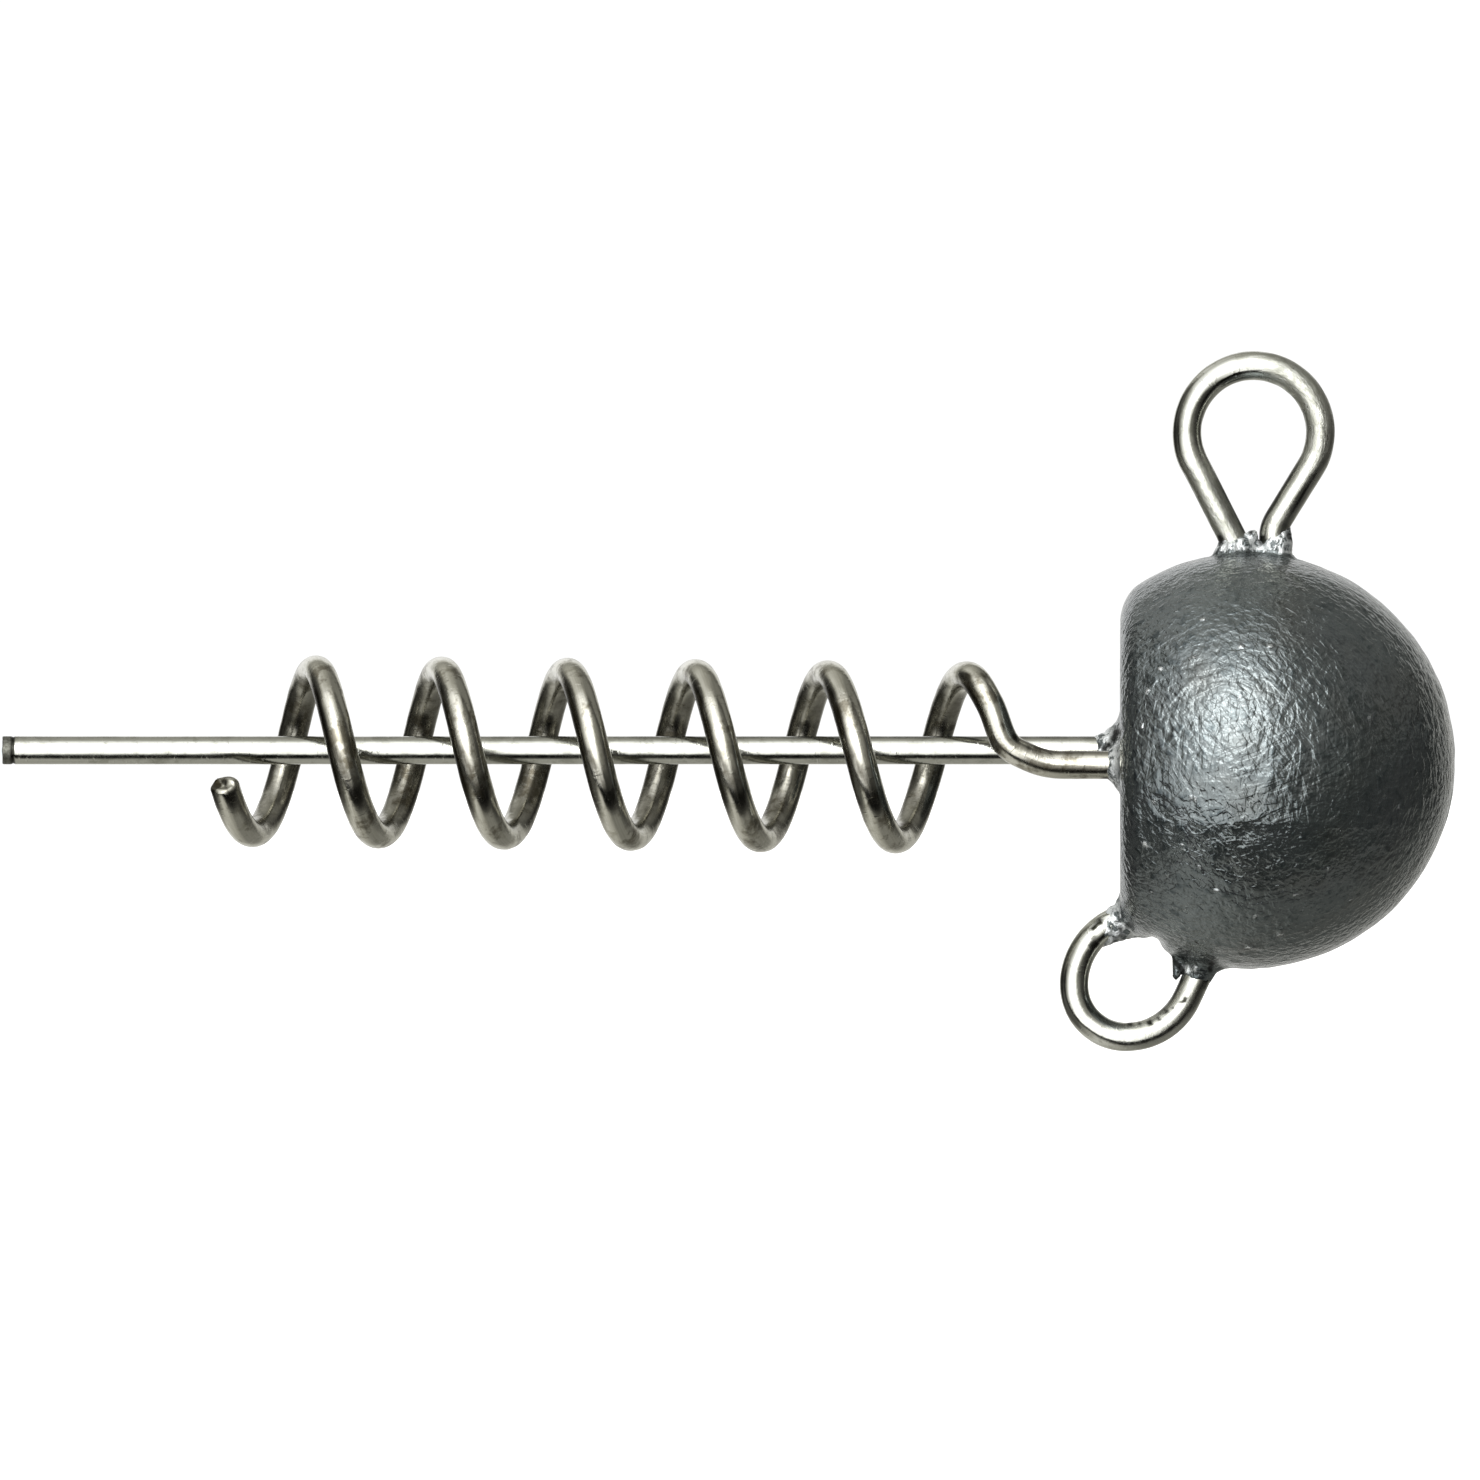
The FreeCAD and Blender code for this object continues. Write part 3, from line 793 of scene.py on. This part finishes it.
# Painted glints, bright flecks on the ball's near side: x, z, radius.
FLECKS = (
    (0.95, -3.50, 0.15), (2.32, -3.57, 0.11), (2.73, -1.80, 0.11), (5.05, -6.20, 0.10),
    (2.72, 3.42, 0.10), (5.98, -6.90, 0.10), (4.80, -7.36, 0.11), (1.50, 3.05, 0.08),
    (1.02, 2.20, 0.08), (1.75, -4.60, 0.08), (2.95, -4.35, 0.08), (5.60, 3.90, 0.08),
    (1.20, -5.30, 0.07), (3.60, -5.20, 0.07), (6.60, -5.40, 0.07), (7.80, -4.40, 0.07),
    (4.50, 3.85, 0.08), (0.80, 0.90, 0.07), (1.30, -1.90, 0.08), (9.30, 1.20, 0.07),
    (8.60, -5.60, 0.06), (10.4, -2.10, 0.06), (3.10, 4.90, 0.07), (6.90, 4.80, 0.06),
    (2.10, 5.20, 0.06))


def near_point(x, z):
    """Point of the ball's near side at this x and z."""
    y_squared = BALL_R ** 2 - (x - BALL_C[0]) ** 2 - (z - BALL_C[2]) ** 2
    return np.array([x, -math.sqrt(max(y_squared, 0.0)), z])


def patch(verts, centre, axes, radii, reach):
    """Which vertices are within reach, and their distance in radii along the axes."""
    offset = verts - centre
    close = np.abs(offset).max(1) < reach
    offset = offset[close]
    squares = [(offset @ axis / radius) ** 2 for axis, radius in zip(axes, radii)]
    return close, np.sqrt(squares[0] + squares[1] + squares[2])


def add_dents(verts, relief):
    """Small dents all over the ball, each with a low lip."""
    draw = np.random.default_rng(77)
    directions = draw.normal(size=(520, 3))
    directions /= np.linalg.norm(directions, axis=1)[:, None]
    for out in directions:
        centre = BALL_C + out * BALL_R
        if centre[0] < 0.3:
            continue
        radius = draw.uniform(0.18, 0.62)
        depth = draw.uniform(0.006, 0.020) * (radius / 0.4)
        stretch = draw.uniform(0.4, 1.0)
        narrow = np.cross(out, draw.normal(size=3))
        narrow /= np.linalg.norm(narrow)
        close, rho = patch(verts, centre, (narrow, np.cross(out, narrow), out),
                           (radius * stretch, radius, radius), reach=radius * 2.2)
        lip = 0.35 * depth * np.exp(-((rho - 1.15) / 0.35) ** 2)
        relief[close] += -depth * np.exp(-(rho / 0.62) ** 2) + lip


def add_ball_marks(verts, relief):
    for x, z, radius, depth, squash, turn in BALL_MARKS:
        centre = near_point(x, z)
        out = (centre - BALL_C) / BALL_R
        level = np.cross(out, [0, 0, 1.0])
        level /= np.linalg.norm(level)
        steep = np.cross(out, level)
        cos_t, sin_t = math.cos(turn), math.sin(turn)
        axes = (level * cos_t + steep * sin_t, -level * sin_t + steep * cos_t, out)
        close, rho = patch(verts, centre, axes, (radius * squash, radius, radius),
                           reach=radius * 3)
        relief[close] += -depth * np.exp(-(rho / 0.6) ** 2)


def wire_distance(verts, from_centre):
    """Distance to the nearest wire's centre line, where a wire can be near."""
    wires = np.vstack([frame_points, cork_points])
    tree = KDTree(len(wires))
    for i, point in enumerate(wires):
        tree.insert(point, i)
    tree.balance()
    distance = np.full(len(verts), 9.0)
    x, _, z = verts.T
    for i in np.nonzero((from_centre > 7.95) | (x < 0.02) | ((z < -6.3) & (x < 3.4)))[0]:
        distance[i] = tree.find(verts[i])[2]
    return distance


def cast_relief(verts):
    """Height of the relief, and how freshly torn the lead is, with painted highlights and
    glints.
    """
    x, y, z = verts.T
    from_centre = np.linalg.norm(verts - BALL_C, axis=1)
    on_ball = smoothstep(7.2, 7.7, from_centre) * smoothstep(0.1, 0.8, x)
    # knocks and bumps of a tumbled casting
    relief = (0.014 * make_noise(31, 6.0)(verts) + 0.010 * make_noise(32, 2.2)(verts)
              + 0.0045 * make_noise(33, 0.9)(verts))
    relief *= 0.35 + 0.65 * on_ball
    add_dents(verts, relief)
    add_ball_marks(verts, relief)

    # a faint step across the near side, where the two pours of metal met
    above = z + 2.72 + 0.12 * np.sin(x * 0.9)
    extent = np.exp(-((x - 6.6) / 3.4) ** 4) * (y < 0)
    hollow = 0.8 * smoothstep(0.0, -0.9, above) * smoothstep(-2.6, -0.9, above)
    relief += extent * 0.026 * (np.exp(-(above / 0.20) ** 2) - hollow)

    # the parting line: a low, worn rib in the plane y = 0
    rib = np.exp(-(y / 0.11) ** 2)
    broken = 0.55 + 0.45 * make_noise(41, 1.6)(verts)
    relief += on_ball * rib * 0.030 * np.clip(broken, 0, 1)
    # the two halves were a hair out of line
    relief += on_ball * 0.008 * np.tanh(y / 0.12)

    # torn, fresher lead where it was drawn up against the wires; its pale colour is partly a
    # painted highlight
    torn_short = make_noise(51, 0.34)(verts)
    torn_long = make_noise(52, 0.8)(verts)
    fresh_and_highlight = smoothstep(1.50, 0.62, wire_distance(verts, from_centre) + 0.14 * torn_long)
    # round the hook eye's front end the skin is old and dark but for two small chips, painted
    # highlights
    at_hook = np.hypot(x - 2.7, z + 8.1)
    chips = np.maximum(smoothstep(0.24, 0.12, np.hypot(x - 2.49, z + 8.23)),
                       smoothstep(0.20, 0.10, np.hypot(x - 2.80, z + 8.26)))
    fresh_and_highlight = fresh_and_highlight * (1 - smoothstep(1.9, 1.3, at_hook)) + 0.9 * chips * (y < 0)
    relief += fresh_and_highlight * (0.030 * torn_short + 0.020 * torn_long)

    # painted glints at the bright flecks, joined to the torn-lead mask
    fleck = np.zeros(len(verts))
    for fleck_x, fleck_z, radius in FLECKS:
        distance = np.linalg.norm(verts - near_point(fleck_x, fleck_z), axis=1)
        fleck = np.maximum(fleck, 1.0 - smoothstep(radius * 0.6, radius * 1.3, distance))
    return relief, np.maximum(fresh_and_highlight, fleck * 0.9)


def cast_lead():
    verts, quads = surface_net(lead_dist, np.array([-2.0, -8.1, -9.6]),
                               np.array([12.9, 8.1, 9.4]), LEAD_GRID)
    verts, normals = project(verts, lead_dist)
    relief, fresh_and_highlight = cast_relief(verts)
    verts = verts + normals * relief[:, None]
    mesh = bpy.data.meshes.new("lead_head_cast")
    mesh.vertices.add(len(verts))
    mesh.vertices.foreach_set("co", (verts * MM).astype(np.float32).ravel())
    mesh.loops.add(len(quads) * 4)
    mesh.loops.foreach_set("vertex_index", quads.astype(np.int32).ravel())
    mesh.polygons.add(len(quads))
    mesh.polygons.foreach_set("loop_start", np.arange(0, len(quads) * 4, 4, dtype=np.int32))
    mesh.polygons.foreach_set("use_smooth", np.ones(len(quads), bool))
    mesh.update(calc_edges=True)
    mesh.validate()
    # painted shade at the black marks
    add_attribute(mesh, "painted_shade", shade_marks_at(verts, LEAD_MARKS))
    # torn lead, partly painted highlight, and painted glints
    add_attribute(mesh, "fresh_and_highlight", fresh_and_highlight)
    return link_object("lead_head_cast", mesh)


lead = cast_lead()


# ------------------------------------------------------------------- materials
class Graph:
    """Shader nodes of a material or world. Inputs may be sockets or plain values."""

    def __init__(self, owner):
        owner.use_nodes = True
        self.tree = owner.node_tree
        self.tree.nodes.clear()

    def add(self, kind, inputs=None, **settings):
        node = self.tree.nodes.new(kind)
        for key, value in settings.items():
            setattr(node, key, value)
        for key, value in (inputs or {}).items():
            socket = node.inputs[key]
            if isinstance(value, bpy.types.NodeSocket):
                self.tree.links.new(value, socket)
            elif socket.type == "RGBA":
                socket.default_value = (*value, 1)
            else:
                socket.default_value = value
        return node

    def math(self, operation, *values, clamp=False):
        return self.add("ShaderNodeMath", dict(enumerate(values)), operation=operation,
                        use_clamp=clamp).outputs[0]

    def plus(self, *terms):
        return reduce(lambda a, b: self.math("ADD", a, b), terms)

    def times(self, *terms):
        return reduce(lambda a, b: self.math("MULTIPLY", a, b), terms)

    def mix(self, factor, a, b):
        # a colour Mix node has its colours at inputs 6 and 7, and its result at 2
        return self.add("ShaderNodeMix", {0: factor, 6: a, 7: b}, data_type="RGBA").outputs[2]

    def remap(self, value, span, to=(0.0, 1.0)):
        """The span of value carried to another span, clamped."""
        inputs = dict(enumerate((value, *span, *to)))
        return self.add("ShaderNodeMapRange", inputs, clamp=True).outputs[0]

    def band(self, value, rise, fall):
        """Goes from 0 to 1 over the rise and back to 0 over the fall."""
        return self.times(self.remap(value, rise), self.remap(value, fall, to=(1.0, 0.0)))

    def noise(self, vector, scale=1.0, detail=2.0, rough=0.5):
        inputs = {"Vector": vector, "Scale": scale, "Detail": detail, "Roughness": rough}
        return self.add("ShaderNodeTexNoise", inputs).outputs["Fac"]

    def mapping(self, vector, scale=(1, 1, 1), turn=(0, 0, 0), shift=(0, 0, 0)):
        inputs = {"Vector": vector, "Scale": scale, "Rotation": turn, "Location": shift}
        return self.add("ShaderNodeMapping", inputs).outputs[0]

    def attribute(self, name, output="Fac"):
        return self.add("ShaderNodeAttribute", attribute_name=name).outputs[output]

    def surface(self, color, roughness, metallic, height, bump_distance):
        """Principled surface with a bump, joined to the output."""
        bump = self.add("ShaderNodeBump", {"Strength": 1.0, "Distance": bump_distance,
                                           "Height": height})
        shader = self.add("ShaderNodeBsdfPrincipled", {
            "Base Color": color, "Roughness": roughness, "Metallic": metallic,
            "Normal": bump.outputs[0]})
        self.add("ShaderNodeOutputMaterial", {0: shader.outputs[0]})


def scuff_streaks(graph, mm):
    """Scuffs in every direction: long thin streaks of noise, cut to scratches."""
    draw = np.random.default_rng(5)
    cuts = []
    for i in range(12):
        if i < 8:
            turn = (0.0, math.pi * i / 8 + float(draw.uniform(-0.2, 0.2)), 0.0)
        else:
            turn = tuple(float(q) for q in draw.uniform(0, math.pi, 3))
        shift = (float(draw.uniform(0, 50)), float(draw.uniform(0, 50)), 0)
        streak = graph.mapping(mm, turn=turn, shift=shift)
        streak = graph.mapping(streak, scale=(0.75, 4.8, 4.8) if i % 2 else (1.0, 3.6, 3.6))
        cuts.append(graph.remap(graph.noise(streak, detail=0.0), (0.55, 0.66)))
    return graph.plus(*cuts)


def lead_material():
    """Cast lead with a dull blue-grey skin, tumbled and scuffed, brighter where torn, with
    painted highlights, glints and shade.
    """
    skin_dark, skin_mid, skin_pale = (
        (0.080, 0.099, 0.104), (0.112, 0.133, 0.138), (0.160, 0.180, 0.182))
    warm_skin = (0.112, 0.117, 0.110)
    pale_grain = (0.26, 0.28, 0.28)
    dark_speck, pale_speck = (0.045, 0.055, 0.058), (0.30, 0.33, 0.33)
    # painted shade toward the flat back
    back_shade_color = (0.032, 0.044, 0.050)
    unscuffed, scuffed = (0.060, 0.074, 0.078), (0.27, 0.295, 0.295)
    # torn lead's pale colour is partly a painted highlight
    torn_dark, torn_bright = (0.10, 0.115, 0.115), (0.84, 0.87, 0.87)
    # near-black painted shade for the black marks
    painted_shade_color = (0.010, 0.011, 0.010)

    material = bpy.data.materials.new("cast_lead")
    graph = Graph(material)
    place = graph.add("ShaderNodeTexCoord").outputs["Object"]
    mm = graph.mapping(place, scale=(1000, 1000, 1000))
    fresh_and_highlight = graph.attribute("fresh_and_highlight")
    painted_shade = graph.attribute("painted_shade")
    broad = graph.noise(mm, scale=0.28, detail=3, rough=0.55)
    mid = graph.noise(mm, scale=1.3, detail=4, rough=0.6)
    fine = graph.noise(mm, scale=5.5, detail=3, rough=0.6)
    speck = graph.noise(mm, scale=8.0, detail=2, rough=0.7)
    dimple = graph.noise(mm, scale=2.0, detail=2, rough=0.55)
    grit = graph.noise(mm, scale=7.0, detail=1, rough=0.6)
    torn = graph.noise(mm, scale=3.4, detail=3, rough=0.65)
    streaks = scuff_streaks(graph, mm)
    scuff = graph.math("MULTIPLY", streaks, 0.45, clamp=True)

    tone = graph.add("ShaderNodeValToRGB", {0: mid})
    stops = tone.color_ramp.elements
    stops.new(0.5)
    for stop, position, color in zip(stops, (0.30, 0.52, 0.76),
                                     (skin_dark, skin_mid, skin_pale)):
        stop.position = position
        stop.color = (*color, 1)
    color = graph.mix(graph.remap(broad, (0.50, 0.68)), tone.outputs[0], warm_skin)
    color = graph.mix(graph.remap(fine, (0.56, 0.72), to=(0.0, 0.45)), color, pale_grain)
    color = graph.mix(graph.remap(speck, (0.42, 0.30), to=(0.0, 0.55)), color, dark_speck)
    color = graph.mix(graph.remap(speck, (0.60, 0.72), to=(0.0, 0.55)), color, pale_speck)
    # painted shade toward the flat back, dimming the soft box's reflection there
    x = graph.add("ShaderNodeSeparateXYZ", {"Vector": mm}).outputs[0]
    back_shade = graph.remap(graph.plus(x, graph.times(mid, 1.6)), (2.3, 3.4), to=(0.66, 0.0))
    color = graph.mix(back_shade, color, back_shade_color)
    color = graph.mix(graph.remap(streaks, (0.20, 0.0), to=(0.0, 0.30)), color, unscuffed)
    color = graph.mix(graph.times(scuff, 0.44), color, scuffed)
    # torn lead and flecks made pale: partly painted highlight, and painted glints
    bright = graph.mix(graph.remap(torn, (0.42, 0.52)), torn_dark, torn_bright)
    color = graph.mix(graph.times(fresh_and_highlight, 0.90), color, bright)
    # painted shade at the black marks
    color = graph.mix(graph.times(painted_shade, 0.95), color, painted_shade_color)

    # scuffs cut down into the dimpled skin, and torn lead stands rough
    height = graph.plus(graph.times(dimple, 0.50), graph.times(grit, 0.18))
    height = graph.math("SUBTRACT", height, graph.times(streaks, 0.185))
    height = graph.plus(height, graph.times(torn, fresh_and_highlight, 2.0))
    roughness = graph.plus(graph.remap(mid, (0.3, 0.75), to=(0.13, 0.22)),
                           graph.times(scuff, -0.02))
    roughness = graph.math("SUBTRACT", roughness, graph.times(fresh_and_highlight, 0.04))
    roughness = graph.plus(roughness, graph.times(painted_shade, 0.4))
    metallic = graph.remap(fresh_and_highlight, (0.0, 1.0), to=(0.81, 0.40))
    graph.surface(color, roughness, metallic, height, bump_distance=0.000034)
    return material


def wire_material(name, base, dark, soot, painted_shade_color, gloss, nick, stain, grooved_tip):
    """Drawn spring-steel wire: streaks along it, fine nicks, stains, dulled cut ends, painted
    shade.

    gloss is the roughness of clean and of blotched wire; nick is the height of
    the nicks and stain the strength of the sooty patches.
    """
    material = bpy.data.materials.new(name)
    graph = Graph(material)
    along = graph.attribute("straight", "Vector")
    wear = graph.attribute("worn")
    painted_shade = graph.attribute("painted_shade")
    lines = graph.noise(graph.mapping(along, scale=(0.25, 16, 16)), detail=3, rough=0.6)
    broad = graph.noise(graph.mapping(along, scale=(0.12, 3.5, 3.5)))
    blotch = graph.noise(along, scale=1.7, detail=4, rough=0.62)
    patches = graph.noise(graph.mapping(along, shift=(40, 0, 0)), scale=0.9, detail=4,
                          rough=0.68)
    nicks = graph.noise(graph.mapping(along, scale=(7, 2.5, 2.5)), rough=0.6)
    rub = graph.noise(graph.mapping(along, scale=(1.6, 4.5, 4.5)), detail=4, rough=0.7)
    s = graph.add("ShaderNodeSeparateXYZ", {"Vector": along}).outputs[0]

    color = graph.mix(graph.remap(lines, (0.40, 0.68), to=(0.0, 0.28)), base, dark)
    color = graph.mix(graph.remap(blotch, (0.55, 0.68), to=(0.0, 0.6)), color, dark)
    color = graph.mix(graph.remap(patches, (0.53, 0.63), to=(0.0, stain)), color, soot)
    rubbed = graph.times(wear, graph.remap(rub, (0.46, 0.62), to=(0.0, 0.75)))
    color = graph.mix(rubbed, color, dark)
    # painted shade and dark reflection from the mesh attribute, in uneven spots
    uneven = graph.plus(patches, graph.times(painted_shade, 0.35))
    spots = graph.times(painted_shade, graph.remap(uneven, (0.50, 0.72), to=(0.45, 1.0)))
    color = graph.mix(spots, color, painted_shade_color)
    roughness = graph.plus(
        graph.remap(blotch, (0.35, 0.70), to=gloss),
        graph.remap(lines, (0.4, 0.7), to=(0.0, 0.05)),
        graph.remap(patches, (0.50, 0.63), to=(0.0, 0.12 * stain)),
        graph.times(wear, graph.remap(rub, (0.35, 0.6), to=(0.08, 0.34))),
        graph.times(spots, 0.12))

    if grooved_tip:
        # dulled band behind the cut end, closed by a groove painted dark as shade
        band_dark, band_pale = (0.12, 0.12, 0.10), (0.24, 0.24, 0.21)
        groove_shade_color = (0.03, 0.03, 0.025)
        grain = graph.noise(along, scale=9.0, detail=3, rough=0.6)
        dulled = graph.remap(s, (0.36, 0.28))
        groove = graph.band(s, rise=(0.24, 0.33), fall=(0.42, 0.48))
        band = graph.mix(graph.remap(grain, (0.35, 0.65)), band_dark, band_pale)
        color = graph.mix(dulled, color, band)
        color = graph.mix(groove, color, groove_shade_color)
        roughness = graph.plus(roughness, graph.times(dulled, 0.35))
    else:
        end_face = graph.remap(s, (0.04, -0.04))
        roughness = graph.plus(roughness, graph.times(end_face, 0.06))

    height = graph.plus(
        graph.times(lines, 0.30), graph.times(broad, 0.7),
        graph.times(graph.remap(nicks, (0.60, 0.75)), nick),
        graph.times(blotch, 1.2), graph.times(rub, wear, 8.0))
    graph.surface(color, roughness, 1.0, height, bump_distance=0.0000055)
    return material


lead.data.materials.append(lead_material())
frame_wire.data.materials.append(wire_material(
    "frame_wire_steel", base=(0.665, 0.67, 0.615), dark=(0.41, 0.415, 0.35),
    soot=(0.23, 0.23, 0.18), painted_shade_color=(0.020, 0.020, 0.015),
    gloss=(0.10, 0.20), nick=0.8, stain=0.25, grooved_tip=True))
corkscrew.data.materials.append(wire_material(
    "corkscrew_steel", base=(0.66, 0.65, 0.575), dark=(0.36, 0.345, 0.27),
    soot=(0.11, 0.090, 0.050), painted_shade_color=(0.036, 0.029, 0.016),
    gloss=(0.075, 0.16), nick=0.9, stain=0.70, grooved_tip=False))

for piece, node, slot in ((lead, "lead_head", "cast_lead"),
                          (frame_wire, "frame_wire", "frame_wire_steel"),
                          (corkscrew, "corkscrew", "corkscrew_steel")):
    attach(piece, "root")
    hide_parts(node)


# ----------------------------------------------------------------------- floor
def make_floor():
    """Pale glowing paper just under the hook eye, unseen by bounced light."""
    floor_z = min(cad_lo.z, -0.0117) - 0.0004       # metres
    bpy.ops.mesh.primitive_plane_add(size=6.0, location=(0, 0, floor_z))
    floor = bpy.context.object
    floor.name = "floor"
    paper = bpy.data.materials.new("floor_paper")
    graph = Graph(paper)
    matt = graph.add("ShaderNodeBsdfDiffuse", {"Color": (0.80, 0.80, 0.79)})
    glow = graph.add("ShaderNodeEmission", {"Color": (1, 1, 1), "Strength": 0.80})
    both = graph.add("ShaderNodeAddShader", {0: matt.outputs[0], 1: glow.outputs[0]})
    graph.add("ShaderNodeOutputMaterial", {0: both.outputs[0]})
    floor.data.materials.append(paper)
    floor.visible_glossy = False
    floor.visible_diffuse = False


# ----------------------------------------------------------------------- light
def make_world():
    """A painted studio: spans are in degrees, and "to" gives the brightness."""
    world = bpy.data.worlds.new("studio")
    bpy.context.scene.world = world
    graph = Graph(world)
    remap, band, times, plus = graph.remap, graph.band, graph.times, graph.plus
    direction = graph.add("ShaderNodeTexCoord").outputs["Generated"]
    dx, dy, dz = graph.add("ShaderNodeSeparateXYZ", {"Vector": direction}).outputs
    degrees = 57.2958
    # elev: 0 at the camera, 90 overhead, 180 behind; side: -90 left to 90 right
    elev = times(graph.math("ARCTAN2", dz, times(dy, -1.0)), degrees)
    side = times(graph.math("ARCSINE", dx), degrees)

    # the big soft box in front, over the camera, brightest up and a little left
    box = times(band(elev, rise=(-38, -34), fall=(70, 92)),
                band(side, rise=(-74, -58), fall=(2, 24)))
    box = times(box, times(remap(side, (-56, -34), to=(0.46, 1.75)),
                           remap(elev, (25, 50), to=(1.0, 0.75))))
    core = times(band(elev, rise=(-22, 20), fall=(28, 76)),
                 band(side, rise=(-38, -15), fall=(-8, 26)))
    core = times(core, core)
    # its dim spill to the right
    spill = times(band(elev, rise=(-22, 4), fall=(50, 85)),
                  band(side, rise=(4, 20), fall=(30, 64)))
    core_strength, spill_strength = 5.0, 0.32
    box = plus(box, times(core, core_strength), times(spill, spill_strength))

    # pale table below, brighter to the left, dark at its far left
    low = graph.math("SUBTRACT", elev, remap(side, (-4, -26), to=(0.0, 20.0)))
    table = times(band(low, rise=(-178, -160), fall=(-80, -66)),
                  remap(side, (-26, 10), to=(0.70, 0.25)))
    table = times(table, times(remap(side, (-47, -28), to=(0.14, 1.0)),
                               remap(side, (40, 62), to=(1.0, 0.25))))
    overhead = times(band(elev, rise=(78, 92), fall=(120, 165)),
                     remap(side, (-35, 15), to=(0.80, 0.24)),
                     remap(side, (-49, -36), to=(0.12, 1.0)))
    # the dim room, and the pale backdrop, brighter up and to the left
    room = remap(side, (-70, -40), to=(0.025, 0.05))
    wall = plus(times(dz, 0.45), times(dx, -0.50), 0.82)
    backdrop = times(remap(dy, (0.70, 0.86)), wall)
    ambient = graph.math("MAXIMUM", graph.math("MAXIMUM", table, overhead), room)
    ambient = graph.math("MAXIMUM", ambient, backdrop)
    # dark gap between the table and the soft box
    gap = times(remap(low, (-68, -60)), remap(elev, (-40, -36), to=(1.0, 0.0)))
    gap_depth = 0.90
    ambient = times(ambient, graph.math("SUBTRACT", 1.0, times(gap, gap_depth)))

    light = plus(ambient, box)
    warm, white = (1.0, 0.985, 0.90), (1, 1, 1)
    tint = graph.mix(remap(light, (0.45, 1.0)), warm, white)
    lit = graph.add("ShaderNodeBackground", {"Color": tint, "Strength": light})
    seen = graph.add("ShaderNodeBackground", {"Color": white, "Strength": 1.05})
    is_camera = graph.add("ShaderNodeLightPath").outputs["Is Camera Ray"]
    mixed = graph.add("ShaderNodeMixShader", {0: is_camera, 1: lit.outputs[0],
                                              2: seen.outputs[0]})
    graph.add("ShaderNodeOutputWorld", {0: mixed.outputs[0]})


# ---------------------------------------------------------------------- camera
AIM = (-14.326, 0.0, 0.38831)
VIEW_WIDTH = 55.796             # width seen at the aim
CAMERA_DISTANCE = 0.55          # metres
CAMERA_TURN = math.radians(1.6)
SENSOR_WIDTH = 36.0


def make_camera():
    scene = bpy.context.scene
    scene.view_settings.view_transform = "Standard"
    scene.view_settings.look = "None"
    data = bpy.data.cameras.new("camera")
    data.sensor_width = SENSOR_WIDTH
    data.sensor_fit = "HORIZONTAL"
    data.lens = SENSOR_WIDTH * CAMERA_DISTANCE / (VIEW_WIDTH * MM)
    camera = bpy.data.objects.new("camera", data)
    scene.collection.objects.link(camera)
    toward_camera = Vector((math.sin(CAMERA_TURN), -math.cos(CAMERA_TURN), 0.0))
    camera.location = Vector(AIM) * MM + toward_camera * CAMERA_DISTANCE
    camera.rotation_euler = (math.radians(90), 0.0, CAMERA_TURN)
    scene.camera = camera


make_floor()
make_world()
make_camera()
